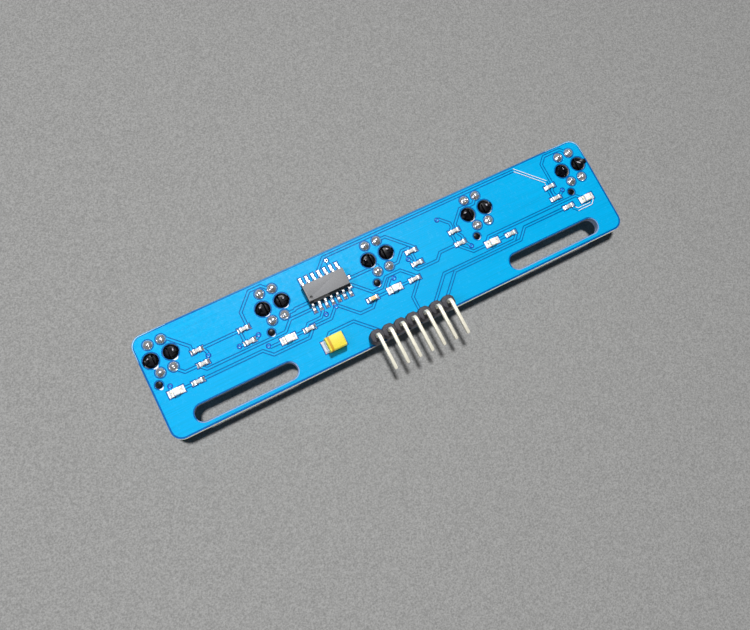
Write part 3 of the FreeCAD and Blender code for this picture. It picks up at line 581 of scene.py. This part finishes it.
mask_over_copper = mask_finish("mask_over_copper", BLUE)
mask_over_core = mask_finish("mask_over_laminate", DEEP_BLUE)
# These three mask finishes carry painted glare and sheen.
mask_rim_glare = mask_finish("mask_rim_glare", RIM_GLARE_BLUE, 0.4)
mask_corner_glare = mask_finish("mask_corner_glare", CORNER_GLARE_BLUE, 0.4)
mask_edge_sheen = mask_finish("mask_edge_sheen", EDGE_SHEEN_BLUE, 0.4)
via_mask = mask_finish("mask_over_via", VIA_BLUE, 0.25, 0.3)
# A pale finish for painted glints: the crescents by the holes and the lines on the tracks' edges.
painted_glint = ceramic_finish("painted_glint", (0.86, 0.9, 0.9), (0.7, 0.76, 0.78), (0.2, 0.35))
laminate = laminate_finish()
copper = metal_finish("copper", (0.86, 0.5, 0.32), (0.25, 0.45))
solder = metal_finish("solder", (0.95, 0.93, 0.93), (0.16, 0.3), 0.5, 0.8, 0.03, 0.83)
bright_solder = metal_finish("bright_solder", (0.95, 0.94, 0.92), (0.3, 0.42), 0.5, 0.9, 0.015, 0.15)
tinned = metal_finish("tinned_metal", (0.95, 0.94, 0.92), (0.26, 0.42), 0.3, 0.85, 0.01, 0.5)
gold_plate = metal_finish("pale_plating", (0.88, 0.83, 0.68), (0.42, 0.56), 0.6, 0.92, 0.008, 0.3)
terminal_gold = metal_finish("terminal_gold", (0.93, 0.87, 0.72), (0.25, 0.4), 0.2, 0.85, 0.01, 0.3)
black_plastic = moulded_finish(
    "black_plastic", (0.003, 0.003, 0.005), (0.02, 0.02, 0.026), (0.2, 0.34), 0.1, 0.06,
    Specular_IOR_Level=0.1,
)
# A pale grey finish for painted glints on the clip posts.
clip_glint_grey = ceramic_finish("clip_glint_grey", (0.42, 0.4, 0.46), (0.12, 0.12, 0.15), (0.2, 0.35))
header_plastic = moulded_finish(
    "header_plastic", (0.03, 0.027, 0.036), (0.2, 0.19, 0.23), (0.5, 0.75), 0.1, 0.24
)
chip_epoxy = moulded_finish("chip_epoxy", (0.215, 0.214, 0.218), (0.4, 0.4, 0.4), (0.5, 0.7), 0.08)
# A near-black copy of the chip's epoxy for its sides: painted shade.
chip_epoxy_shaded_side = moulded_finish(
    "chip_epoxy_shaded_side", (0.012, 0.012, 0.013), (0.06, 0.06, 0.06), (0.45, 0.65), 0.09
)
glaze = ceramic_finish("resistor_glaze", (0.56, 0.56, 0.54), (0.3, 0.3, 0.29))
alumina = ceramic_finish("alumina", (0.8, 0.79, 0.75), (0.6, 0.59, 0.55))
yellow_epoxy = tantalum_finish()
tan_ceramic = ceramic_finish("tan_ceramic", (0.76, 0.53, 0.24), (0.5, 0.31, 0.12))
white_base = ceramic_finish("white_laminate", (0.85, 0.84, 0.78), (0.66, 0.64, 0.56))
white_lens = ceramic_finish(
    "milky_epoxy", (0.93, 0.93, 0.9), (0.84, 0.83, 0.76), (0.2, 0.34),
    Subsurface_Weight=0.3, Subsurface_Scale=0.0004,
)
emitter_epoxy = clear_epoxy_finish("blue_clear_epoxy", (0.45, 0.6, 0.9), (0.3, 0.45, 0.8), 0.06, 0.8)
detector_epoxy = clear_epoxy_finish("dark_epoxy", (0.03, 0.02, 0.035), (0.012, 0.01, 0.014), 0.08, 0.35)


# ---- board

def sensor_centre(number):
    """(x, y) of a sensor, midway between its four leads."""
    return centre(f"sensor_leads_{number}").xy


def mask_piece(node, face, outward):
    """Solder mask: light over the foil, dark where it dips to the laminate."""
    bm = welded_copy(node)
    low = face - outward * MASK_STEP
    for f in bm.faces:
        middle = f.calc_center_median()
        on_top = f.normal.z * outward > 0.9
        f.material_index = 0 if on_top and abs(middle.z - face) < WELD else 1
    steps = []
    cuts = []
    for e in bm.edges:
        if not e.is_manifold or e.calc_face_angle() < STEEP:
            continue
        if all(abs(v.co.z - face) < WELD for v in e.verts):
            steps.append(e)
        elif all(abs(v.co.z - low) < WELD for v in e.verts):
            upright = min(e.link_faces, key=lambda f: abs(f.normal.z))
            if all(abs(v.co.z - face) > WELD for v in upright.verts):
                cuts.append(e)
    soften(bm, MASK_SLOPE, segments=1, edges=steps)
    soften(bm, RIM_BEVEL, edges=[e for e in cuts if e.is_valid])
    stand_in(node, bm, (mask_over_copper, mask_over_core), "solder_mask", smooth=5)


def tented_vias():
    """The low ring that the mask makes over each via, on both sides, with a dimple in its middle."""
    open_via = [low.x for low, high in solids("smd_solder") if max((high - low).xy) < SMALL_PAD]
    profile = (
        (1.06, -0.01), (1.06, 0.0), (1.0, 0.014), (0.84, 0.026), (0.7, 0.024), (0.58, 0.01),
        (0.24, 0.004), (0.1, 0.003),
    )
    bm = bmesh.new()
    for low, high in solids("plated_barrels"):
        if high.x - low.x > BARREL_LIMIT or any(abs(low.x - x) < SAME_PLACE for x in open_via):
            continue
        x, y = ((low + high) / 2).xy
        for face, outward in ((MASK_TOP, 1), (MASK_BOTTOM, -1)):
            rings = [
                circle(x, y, face + outward * rise, VIA_PAD_RADIUS * share, 28) for share, rise in profile
            ]
            for f in skin(bm, rings):
                away = (f.calc_center_median().xy - Vector((x, y))).length / VIA_PAD_RADIUS
                f.material_index = 0 if away > VIA_RING else 1 if away > VIA_DIMPLE else 2
    piece("tented_vias", bm, (via_mask, mask_over_copper, mask_over_core), "solder_mask", smooth=60)


def arc(x, y, radius, start, end, steps=10):
    """Places on an arc and the outward direction at each, between two angles in degrees."""
    angles = [math.radians(start + (end - start) * i / steps) for i in range(steps + 1)]
    aims = [Vector((math.cos(angle), math.sin(angle))) for angle in angles]
    return [(Vector((x, y)) + radius * aim, aim) for aim in aims]


def sliver(bm, path, widths, levels, outward=1, material=0):
    """A thin strip beside a cut edge, from places on the edge, its directions and the strip's widths."""
    near = []
    far = []
    for (place, aim), wide in zip(path, widths):
        near.append(place + outward * aim * RIM_BEVEL)
        far.append(place + outward * aim * (RIM_BEVEL + wide))
    prism(bm, near + far[::-1], levels, material)


def bare_crescents():
    """Painted glints: pale slivers on the mask at the near side of some sensors' holes."""
    steps = 16
    bm = bmesh.new()
    for number, share in RIM_GLINTS:
        sx, sy = sensor_centre(number)
        clip_y = sy + CLIP_PLACE[1]
        holes = [(sx + side * CLIP_PLACE[0], clip_y, CLIP_HOLE_RADIUS, CLIP_CRESCENT) for side in (-1, 1)]
        holes.append((sx + PEG_PLACE[0], sy + PEG_PLACE[1], PEG_HOLE_RADIUS, PEG_CRESCENT))
        for x, y, radius, half in holes:
            widths = []
            for i in range(steps + 1):
                turn = 2 * i / steps - 1
                wide = CRESCENT_WIDTH * share * math.cos(turn * math.pi / 2) + 0.01
                wide += uneven((x, y, half * turn), 0.3, 0.05 * share)
                widths.append(max(0.012, wide))
            ends = [math.degrees(CRESCENT_AIM + half * side) for side in (-1, 1)]
            path = arc(x, y, radius, *ends, steps)
            sliver(bm, path, widths, (MASK_TOP - PAD_FILL, MASK_TOP + FILM_RISE))
    piece("bare_crescents", bm, (painted_glint,), "solder_mask", smooth=30)


def glare_strip(bm, path, outward, material):
    """Painted glare on the mask's low band beside a cut edge, fading out at both ends."""
    z = MASK_TOP - MASK_STEP
    widths = []
    for i, (place, aim) in enumerate(path):
        wide = GLARE_RIM_WIDTH * math.sqrt(math.sin(math.pi * (i + 0.3) / (len(path) - 0.4)))
        widths.append(max(0.02, wide + uneven((place.x, place.y, 0), 0.7, 0.04)))
    sliver(bm, path, widths, (z - FILM_SINK, z + GLARE_RISE), outward, material)


def worn_rims():
    """Painted glare beside the slots and round the two far corners, and painted sheen along the far edge."""
    bm = bmesh.new()
    for side in (-1, 1):
        left_end = arc(side * SLOT_X - SLOT_HALF_RUN, 0, SLOT_RADIUS, SLOT_GLARE[0], 270)
        right_end = arc(side * SLOT_X + SLOT_HALF_RUN, 0, SLOT_RADIUS, 270, SLOT_GLARE[1], 16)
        glare_strip(bm, left_end + right_end, 1, 0)
        x = side * (BOARD_HIGH.x - CORNER_RADIUS)
        y = BOARD_HIGH.y - CORNER_RADIUS
        up = Vector((0, 1))
        across = Vector((side, 0))
        lead = [(Vector((x - side * d, BOARD_HIGH.y)), up) for d in (CORNER_LEAD, 3, 1)]
        tail = [(Vector((side * BOARD_HIGH.x, y - d)), across) for d in (1, 2.5)]
        ends = (90, 0) if side > 0 else (90, 180)
        glare_strip(bm, lead + arc(x, y, CORNER_RADIUS, *ends) + tail, -1, 1)
    # Painted sheen along the far edge.
    run = BOARD_HIGH.x - CORNER_RADIUS - CORNER_LEAD
    glare_strip(bm, [(Vector((run * i / 20, BOARD_HIGH.y)), up) for i in range(-20, 21)], -1, 2)
    piece("worn_rims", bm, (mask_rim_glare, mask_corner_glare, mask_edge_sheen), "solder_mask", smooth=5)


def has_edge_glint(p):
    """Whether a track's edge gets a painted glint: one oblique pair and the turn round the last light."""
    start_x, start_y, run, half_width = GLINT_TRACK
    turn_x, turn_low, turn_high = GLINT_TURN
    along = p.x - start_x
    on_track = 0 < along < run and abs(along + p.y - start_y) < half_width
    return on_track or p.x > turn_x and turn_low < p.y < turn_high


def rubbed_lines():
    """Painted glints: thin pale lines on some of the tracks' edges."""
    mask = welded_copy("solder_mask_top")
    bm = bmesh.new()
    for e in mask.edges:
        a, b = (v.co.copy() for v in e.verts)
        level = max(abs(a.z - MASK_TOP), abs(b.z - MASK_TOP)) < WELD
        if not level or not e.is_manifold or e.calc_face_angle() < STEEP or not has_edge_glint((a + b) / 2):
            continue
        upright = min(e.link_faces, key=lambda f: abs(f.normal.z))
        if upright.normal.dot(GLINT_FACING) < 0:
            continue
        aside = Vector((a.y - b.y, b.x - a.x, 0)).normalized() * GLINT_LINE / 2
        prism(bm, [a - aside, b - aside, b + aside, a + aside], (MASK_TOP - FILM_SINK, MASK_TOP + FILM_RISE))
    mask.free()
    piece("rubbed_lines", bm, (painted_glint,), "solder_mask", smooth=5)


def dress(node, finish):
    """Gives a CAD node that keeps its own shape its material."""
    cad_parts[node].material_slots[0].material = finish


dress("circuit_board", laminate)
for foil in ("copper_top", "copper_bottom", "plated_barrels"):
    dress(foil, copper)
mask_piece("solder_mask_top", MASK_TOP, 1)
mask_piece("solder_mask_bottom", MASK_BOTTOM, -1)
tented_vias()
bare_crescents()
worn_rims()
rubbed_lines()


# ---- sensors

def solder_dome(bm, x, y, radius, top, seed):
    """A joint round one lead: it sweeps up from the pad to the lead's cut tip, which leans a little."""
    lean = Vector((uneven((x, y, 1), 1.0, 0.2, seed), uneven((y, x, 2), 1.0, 0.2, seed), 0))
    full = 0.7 + uneven((x, y, 3), 1.0, 0.12, seed)
    profile = (
        (1.0, 0.0), (0.985, 0.06), (0.95, 0.15), (0.88, 0.29), (0.78, 0.44), (0.66, 0.57), (0.53, 0.68),
        (0.41, 0.77), (0.32, 0.86), (0.27, 0.96), (0.23, 1.03), (0.15, 1.07), (0.06, 1.08),
    )
    rings = [circle(x, y, MASK_TOP - PAD_FILL, radius, 40)]
    for share, height in profile:
        ring = circle(x, y, MASK_TOP, radius * share, 40)
        for p in ring:
            sag = uneven((p.x, p.y, height), 0.55, 0.12, seed) + uneven((p.x, p.y, height), 0.22, 0.03, seed)
            p.z += max(0.0, full * height + sag * min(1, 3 * height) * (1.1 - 0.6 * height))
            p.z = min(p.z, top)
            p += lean * height
        rings.append(ring)
    skin(bm, rings)


def back_ring(bm, x, y, radius):
    """The flush ring of solder round a lead on the underside."""
    rings = [circle(x, y, MASK_BOTTOM + PAD_FILL, radius, 32)]
    for share, rise in ((1.0, 0.04), (0.96, 0.02), (0.86, 0.006), (0.6, 0.0), (0.2, 0.0)):
        rings.append(circle(x, y, MASK_BOTTOM + rise, radius * share, 32))
    skin(bm, rings)


def sensor_solder():
    bm = bmesh.new()
    for i, (low, high) in enumerate(solids("sensor_solder")):
        x, y = ((low + high) / 2).xy
        radius = (high.x - low.x) / 2
        solder_dome(bm, x, y, radius, high.z, 1.7 * i)
        back_ring(bm, x, y, BACK_RING * radius)
    stand_in("sensor_solder", bm, (solder,), "solder", smooth=60)


def sensor_housing(number):
    bm = welded_copy(f"sensor_housing_{number}")
    soften(bm, 0.05)
    stand_in(f"sensor_housing_{number}", bm, (black_plastic,), "sensor_plastic")


def clip_scuffs():
    """Painted glints: small pale spots on the clip posts."""
    bm = bmesh.new()
    for number, side, x, y, length, turn in CLIP_GLINTS:
        bodies = bmesh.new()
        bodies.from_mesh(bpy.data.objects[f"sensor_housing_{number}_look"].data)
        tree = BVHTree.FromBMesh(bodies)
        sx, sy = sensor_centre(number)
        place = Vector((sx + side * CLIP_PLACE[0] + x, sy + CLIP_PLACE[1] + y, 0))
        rings = []
        for share, rise in ((1.0, -0.05), (1.0, 0.003), (0.7, 0.012), (0.2, 0.016)):
            ring = circle(0, 0, 0, share, 20)
            for p in ring:
                p.x *= length / 2
                p.y *= CLIP_GLINT_WIDTH / 2
                p.rotate(Matrix.Rotation(turn, 3, "Z"))
                p += place
                hit = tree.ray_cast(Vector((p.x, p.y, SKY)) * MM, Vector((0, 0, -1)))[0]
                p.z = (hit.z / MM if hit and hit.z / MM > MASK_TOP else MASK_TOP) + rise
            rings.append(ring)
        skin(bm, rings)
        bodies.free()
    piece("clip_scuffs", bm, (clip_glint_grey,), "sensor_plastic", smooth=60)


sensor_solder()
for number in SENSORS:
    sensor_housing(number)
    dress(f"emitter_{number}", emitter_epoxy)
    dress(f"detector_{number}", detector_epoxy)
    dress(f"sensor_leads_{number}", tinned)
clip_scuffs()


# ---- header

def header_pins():
    """Square pins that rise through the board and bend level towards the near edge."""
    half = PIN_SIDE / 2
    bm = bmesh.new()
    for low, high in solids("header_pins"):
        x = low.x + half
        upright_y = high.y - half
        leg_z = high.z - half
        tail = Vector((x, upright_y, low.z))
        tip = Vector((x, low.y, leg_z))
        bend = rounded_corner(tail, Vector((x, upright_y, leg_z)), tip, PIN_BEND, 10)
        path = [tail, tail + Vector((0, 0, PIN_TAPER)), *bend, tip + Vector((0, PIN_TAPER, 0)), tip]
        bar(bm, path, PIN_SIDE, PIN_SIDE, PIN_CORNER, end_scale=(0.62, 0.7))
    stand_in("header_pins", bm, (gold_plate,), "pin_plating", smooth=50)


def header_base():
    """A moulded strip of seven segments, each with cut corners and a square hole for its pin."""
    low, high = corners("header_base")
    count = len(solids("header_pins"))
    pitch = (high.x - low.x) / count
    c = pitch / 2
    k = c - HEADER_CORNER
    y = (low.y + high.y) / 2
    profile = (
        (low.z, 0.08), (low.z + 0.12, 0.0), (high.z - 0.16, 0.0),
        (high.z - 0.07, 0.05), (high.z - 0.02, 0.1), (high.z, 0.18),
    )
    outline = [(c, k), (k, c), (-k, c), (-c, k), (-c, -k), (-k, -c), (k, -c), (c, -k)]
    ring = rounded_ring([Vector((a, b, 0)) for a, b in outline], HEADER_ROUND)
    square = [p / max(abs(p.x), abs(p.y)) for p in ring]
    hole = PIN_SIDE / 2 + PIN_PLAY
    bm = bmesh.new()
    for i in range(count):
        x = low.x + c + i * pitch
        rings = []
        for level, inset in profile:
            points = []
            for p in ring:
                shared = abs(p.x) > c - 0.02 and 0 < i + (p.x > 0) < count
                shrink = 1 - (inset * SHARED_INSET if shared else inset) / c
                points.append(Vector((x + p.x * shrink, y + p.y * shrink, level)))
            rings.append(points)
        for level, half in ((high.z, hole + HOLE_CHAMFER), (high.z - HOLE_CHAMFER, hole), (low.z, hole)):
            rings.append([Vector((x + p.x * half, y + p.y * half, level)) for p in square])
        tube(bm, rings)
    stand_in("header_base", bm, (header_plastic,), "header_plastic", smooth=40)


def header_solder():
    """Cones of solder that climb the pins' tails below the board."""
    profile = (
        (1.0, 0.0), (0.98, 0.04), (0.85, 0.14), (0.7, 0.3), (0.58, 0.5), (0.5, 0.72),
        (0.46, 0.9), (0.4, 0.99),
    )
    bm = bmesh.new()
    for low, high in solids("header_solder"):
        x, y = ((low + high) / 2).xy
        radius = (high.x - low.x) / 2
        rings = [circle(x, y, MASK_BOTTOM + PAD_FILL, radius, 36)]
        for share, depth in profile:
            ring = circle(x, y, MASK_BOTTOM - depth, radius * share, 36)
            for p in ring:
                p.z += uneven(p, 0.5, 0.12) * math.sin(math.pi * depth)
            rings.append(ring)
        skin(bm, rings)
        skin(bm, [circle(x, y, MASK_TOP - PAD_FILL, radius, 36), circle(x, y, MASK_TOP, radius, 36)])
    stand_in("header_solder", bm, (solder,), "solder", smooth=60)


header_pins()
header_base()
header_solder()


# ---- chips

def resistor(name):
    """White alumina with a raised glaze over its resistive film."""
    low, high = corners(name)
    left = (low.x + high.x) / 2 - GLAZE_HALF
    right = (low.x + high.x) / 2 + GLAZE_HALF
    bm = bmesh.new()
    block(bm, (low.x + 0.02, low.y + 0.03, low.z), (high.x - 0.02, high.y - 0.03, high.z - 0.09), 0.03, 2, 1)
    block(bm, (left, low.y + 0.05, high.z - 0.12), (right, high.y - 0.05, high.z - 0.015), 0.045, 3)
    stand_in(name, bm, (glaze, alumina), "resistor_glaze")


def ceramic_capacitor():
    low, high = corners("ceramic_capacitor")
    bm = bmesh.new()
    block(bm, low, high, 0.06, 3)
    stand_in("ceramic_capacitor", bm, (tan_ceramic,), "capacitor_ceramic")


RESISTORS = [f"{use}_resistor_{i}" for use in ("emitter", "load", "indicator") for i in SENSORS]
CHIPS = RESISTORS + ["ceramic_capacitor"]


def end_caps():
    """Plated metal wrapped round both ends of each chip."""
    bm = bmesh.new()
    for low, high in solids("chip_end_caps"):
        block(bm, low, high, 0.07, 3)
    stand_in("chip_end_caps", bm, (tinned,), "tinned_leads")


def notch(x, y, side, radius):
    """Half a circle of points that bites into one end of an outline, from -Y to +Y."""
    steps = 8
    turns = [math.pi * i / steps for i in range(steps + 1)]
    return [Vector((x - side * radius * math.sin(t), y - radius * math.cos(t), 0)) for t in turns]


def indicator_base(number):
    """A white plate with a half-round notch in each end."""
    low, high = corners(f"indicator_base_{number}")
    y = (low.y + high.y) / 2
    a, b, c, d = rectangle(low, high, 0)
    outline = [a, b, *notch(high.x, y, 1, BASE_NOTCH), c, d, *notch(low.x, y, -1, BASE_NOTCH)[::-1]]
    bm = bmesh.new()
    prism(bm, outline, (low.z, high.z))
    stand_in(f"indicator_base_{number}", bm, (white_base,), "indicator_substrate")


def indicator_lenses():
    """Moulded epoxy over each light's middle, with sloped ends and rounded edges."""
    levels = ((0.0, 0.0), (0.85, LENS_SLOPE), (0.96, LENS_SLOPE + 0.03), (1.0, LENS_SLOPE + 0.09))
    bm = bmesh.new()
    for low, high in solids("indicator_lenses"):
        rings = []
        for share, inset in levels:
            side = max(0.0, inset - LENS_SLOPE)
            z = low.z + share * (high.z - low.z)
            points = rectangle((low.x + inset, low.y + side), (high.x - inset, high.y - side), z)
            rings.append(rounded_ring(points, 0.06, 3))
        skin(bm, rings)
    stand_in("indicator_lenses", bm, (white_lens,), "indicator_lens")


def indicator_terminals():
    bm = bmesh.new()
    for i, (low, high) in enumerate(solids("indicator_terminals")):
        side = 1 if i % 2 else -1
        outer, inner = (high.x, low.x) if side > 0 else (low.x, high.x)
        a, b, c, d = rectangle((inner, low.y), (outer, high.y), 0)
        bite = notch(outer, (low.y + high.y) / 2, side, TERMINAL_NOTCH)
        prism(bm, [a, b, *bite, c, d], (low.z, high.z))
    stand_in("indicator_terminals", bm, (terminal_gold,), "terminal_gold")


def ic_body():
    bm = welded_copy("ic_body")
    top = corners("ic_body")[1].z
    # Top faces take the grey epoxy; all other faces take its near-black copy, which is painted shade.
    for f in bm.faces:
        f.material_index = 0 if f.normal.z > 0.9 and f.calc_center_median().z > top - 0.01 else 1
    soften(bm, 0.035)
    stand_in("ic_body", bm, (chip_epoxy, chip_epoxy_shaded_side), "chip_epoxy")


def ic_leads():
    """Fourteen gull-wing leads, bent from flat strip."""
    body_low, body_high = corners("ic_body")
    half = GULL_THICKNESS / 2
    bm = bmesh.new()
    for low, high in solids("ic_leads"):
        x = (low.x + high.x) / 2
        side = 1 if low.y > body_low.y else -1
        toe, face = (high.y, body_high.y) if side > 0 else (low.y, body_low.y)
        top = high.z - half
        foot = low.z + half
        path = rounded_path([
            Vector((x, face - side * GULL_ROOT, top)), Vector((x, face + side * GULL_KNEE, top)),
            Vector((x, face + side * GULL_FOOT, foot)), Vector((x, toe, foot)),
        ], GULL_BEND)
        bar(bm, path, high.x - low.x, GULL_THICKNESS, 0.035)
    stand_in("ic_leads", bm, (tinned,), "tinned_leads", smooth=50)


def tantalum_case():
    bm = welded_copy("tantalum_case")
    soften(bm, 0.1, segments=3, angle=20)
    stand_in("tantalum_case", bm, (yellow_epoxy,), "tantalum_epoxy")


def tantalum_terminals():
    """Strap terminals that leave the case at mid height and fold down and under it."""
    half = STRAP_THICKNESS / 2
    bm = bmesh.new()
    for i, (low, high) in enumerate(solids("tantalum_terminals")):
        side = 1 if i else -1
        outer = high.x - half if side > 0 else low.x + half
        top = high.z - half
        foot = low.z + half
        path = rounded_path([
            Vector((outer - side * STRAP_ROOT, 0, top)), Vector((outer, 0, top)),
            Vector((outer, 0, foot)), Vector((outer - side * STRAP_FOLD, 0, foot)),
        ], STRAP_BEND)
        rings = []
        last = len(path) - 1
        for k, point in enumerate(path):
            along = (path[min(k + 1, last)] - path[max(k - 1, 0)]).normalized()
            out = along.cross(Vector((0, 1, 0))) * half
            rings.append([
                Vector((point.x + s * out.x, y, point.z + s * out.z))
                for s, y in ((1, low.y), (1, high.y), (-1, high.y), (-1, low.y))
            ])
        skin(bm, rings)
    stand_in("tantalum_terminals", bm, (tinned,), "tinned_leads")


def solder_patch(bm, low, high, height_at, count=14, material=0):
    """Solder over one pad. height_at(a, b) gives its height at a place from the pad's middle."""
    x, y = ((low + high) / 2).xy
    length, width = (high - low).xy
    base = MASK_TOP - PAD_FILL
    shares = [2 * i / count - 1 for i in range(count + 1)]
    top = []
    bottom = []
    for u in shares:
        top.append([])
        bottom.append([])
        for v in shares:
            a = u * math.sqrt(1 - PATCH_DRAW * v ** 4) * length / 2
            b = v * math.sqrt(1 - PATCH_DRAW * u ** 4) * width / 2
            rim = min(1.0, PATCH_RIM * (1 - max(abs(u), abs(v))))
            bulge = math.sqrt(max(0.0, 1 - (1 - rim) ** 2))
            rough = 1 + uneven((x + a, y + b, 0), 0.45, 0.22)
            top[-1].append(bm.verts.new((x + a, y + b, MASK_TOP + bulge * height_at(a, b) * rough)))
            bottom[-1].append(bm.verts.new((x + a, y + b, base)))
    for grid in (top, bottom):
        for i in range(count):
            for j in range(count):
                face = bm.faces.new((grid[i][j], grid[i + 1][j], grid[i + 1][j + 1], grid[i][j + 1]))
                face.material_index = material
    rims = [
        [row[0] for row in grid] + grid[-1][1:] + [row[-1] for row in grid[-2::-1]] + grid[0][-2:0:-1]
        for grid in (bottom, top)
    ]
    wall(bm, *rims)


def end_climb(offset, face, climb, reach):
    """Heights of a fillet up a chip's end face. offset and face are measured from the chip's middle."""
    side = math.copysign(1, offset)

    def height(a, b):
        out = abs(offset) + side * a - face
        if out < 0:
            return max(FILLET_UNDER, climb * math.exp(out / FILLET_DECAY))
        return max(FILLET_EDGE, climb * (1 - min(1.0, out / reach)) ** 1.5)
    return height


def toe_fill(offset):
    """Heights of the solder round one gull-wing foot, low beyond its toe."""
    side = math.copysign(1, offset)

    def height(a, b):
        out = abs(offset) + side * b
        return FOOT_SOLDER * max(0.25, 1 - max(0.0, out - GULL_TOE) / 0.5)
    return height


def smd_solder():
    """Solder on every surface pad. What stands on a pad is known from the pad's size and place."""
    chips = [centre(name) for name in CHIPS]
    lights = [centre(f"indicator_base_{i}") for i in SENSORS]
    case_low, case_high = corners("tantalum_case")
    case_face = (case_high.x - case_low.x) / 2 + STRAP_THICKNESS
    via_levels = ((-PAD_FILL, 0.34), (0.01, 0.34), (0.03, 0.3), (0.02, 0.2), (-PAD_FILL, 0.14))
    bm = bmesh.new()
    for low, high in solids("smd_solder"):
        middle = (low + high) / 2
        length, width = (high - low).xy
        if max(length, width) < SMALL_PAD:
            tube(bm, [circle(middle.x, middle.y, MASK_TOP + z, r, 28) for z, r in via_levels])
        elif width > WIDE_PAD:
            climb = end_climb(middle.x - centre("tantalum_case").x, case_face, 0.5, 0.75)
            solder_patch(bm, low, high, climb, 22, 1)
        elif length < SMALL_PAD and width > FOOT_PAD:
            solder_patch(bm, low, high, toe_fill(middle.y - centre("ic_body").y))
        elif length < SMALL_PAD:
            solder_patch(bm, low, high, lambda a, b: FLAT_SOLDER)
        else:
            owner = min(chips + lights, key=lambda c: (c.xy - middle.xy).length)
            is_light = owner in lights
            climb = end_climb(middle.x - owner.x, LIGHT_HALF if is_light else CHIP_HALF, 0.34, 0.5)
            solder_patch(bm, low, high, climb, 16, int(is_light))
    stand_in("smd_solder", bm, (solder, bright_solder), "solder", smooth=60)


for name in RESISTORS:
    resistor(name)
ceramic_capacitor()
end_caps()
for number in SENSORS:
    indicator_base(number)
indicator_lenses()
indicator_terminals()
ic_body()
ic_leads()
tantalum_case()
tantalum_terminals()
smd_solder()


# ---- studio

CAMERA_PLACE = Vector((-38.82, -19.89, 154.16))
CAMERA_AIM = Vector((-5.68, 2.53, MASK_TOP))
PICTURE_UP = Vector((0.4217, 0.8794, 0.2208))
LENS = 40.05
FLOOR_GAP = 0.02
FLOOR_HALF = 1500


def add_camera():
    data = bpy.data.cameras.new("camera")
    data.lens = LENS
    data.sensor_width = 36.0
    data.clip_start = 0.001
    camera = show("camera", data)
    back = (CAMERA_PLACE - CAMERA_AIM).normalized()
    right = PICTURE_UP.cross(back).normalized()
    up = back.cross(right)
    turn = Matrix((right, up, back)).transposed().to_4x4()
    camera.matrix_world = Matrix.Translation(CAMERA_PLACE * MM) @ turn
    bpy.context.scene.camera = camera


def add_floor():
    """A plain pale table top, just under the sensors."""
    low = corners("sensor_housing_3")[0].z - FLOOR_GAP
    bm = bmesh.new()
    bmesh.ops.create_grid(bm, x_segments=8, y_segments=8, size=FLOOR_HALF)
    bmesh.ops.translate(bm, verts=bm.verts, vec=(0, 0, low))
    mesh = in_metres("floor", bm)
    f = Finish("pale_floor", Specular_IOR_Level=0.2)
    grain = f.grain(0.3, 5)
    f.colour(f.ramp(grain, (0.3, (0.28, 0.28, 0.275)), (0.7, (0.49, 0.49, 0.482))))
    f.roughness(grain, 0.7, 0.9)
    f.relief(grain, 0.05, 0.4)
    mesh.materials.append(f.material)
    floor = show("floor", mesh)


def add_light(name, lit, direction, distance, size, watts, colour=(1, 1, 1)):
    """A round lamp that faces the board and lights one collection."""
    data = bpy.data.lights.new(name, "AREA")
    data.shape = "DISK"
    data.size = size * MM
    data.energy = watts
    data.color = colour
    lamp = show(name, data)
    away = Vector(direction).normalized()
    turn = away.to_track_quat("Z", "Y").to_matrix().to_4x4()
    lamp.matrix_world = Matrix.Translation(away * distance * MM) @ turn
    lamp.visible_camera = False
    lamp.light_linking.receiver_collection = lit
    return lamp


def gather(name, objects):
    """A collection, outside the scene, that names what a lamp lights."""
    group = bpy.data.collections.new(name)
    for thing in objects:
        group.objects.link(thing)
    return group


def add_lights():
    """Soft lamps over the board, one reflection card for the metal, and the table's own lamp."""
    meshes = [o for o in bpy.data.objects if o.type == "MESH"]
    board = gather("lit_board", [o for o in meshes if o.name != "floor"])
    table = gather("lit_table", [o for o in meshes if o.name == "floor"])
    add_light("key", board, (0.16, 0.55, 1.0), 600, 70, 3.9)
    add_light("left_fill", board, (-0.86, 0.18, 0.9), 230, 120, 0.17, (0.78, 0.87, 1.0))
    add_light("front_fill", board, (0.25, -1.0, 0.0), 600, 14, 1.9, (1.0, 0.98, 0.94))
    card = add_light("card", board, (-0.05, 0.3, 1.0), 500, 460, 0.5)
    card.visible_diffuse = False
    add_light("table_key", table, (-0.15, 0.06, 1.0), 600, 45, 3.1)


def add_world():
    world = bpy.data.worlds.new("studio")
    world.use_nodes = True
    background = world.node_tree.nodes["Background"]
    background.inputs["Color"].default_value = (1.0, 0.98, 1.0, 1)
    background.inputs["Strength"].default_value = 0.04
    bpy.context.scene.world = world
    bpy.context.scene.view_settings.view_transform = "Standard"


add_camera()
add_floor()
add_world()
add_lights()
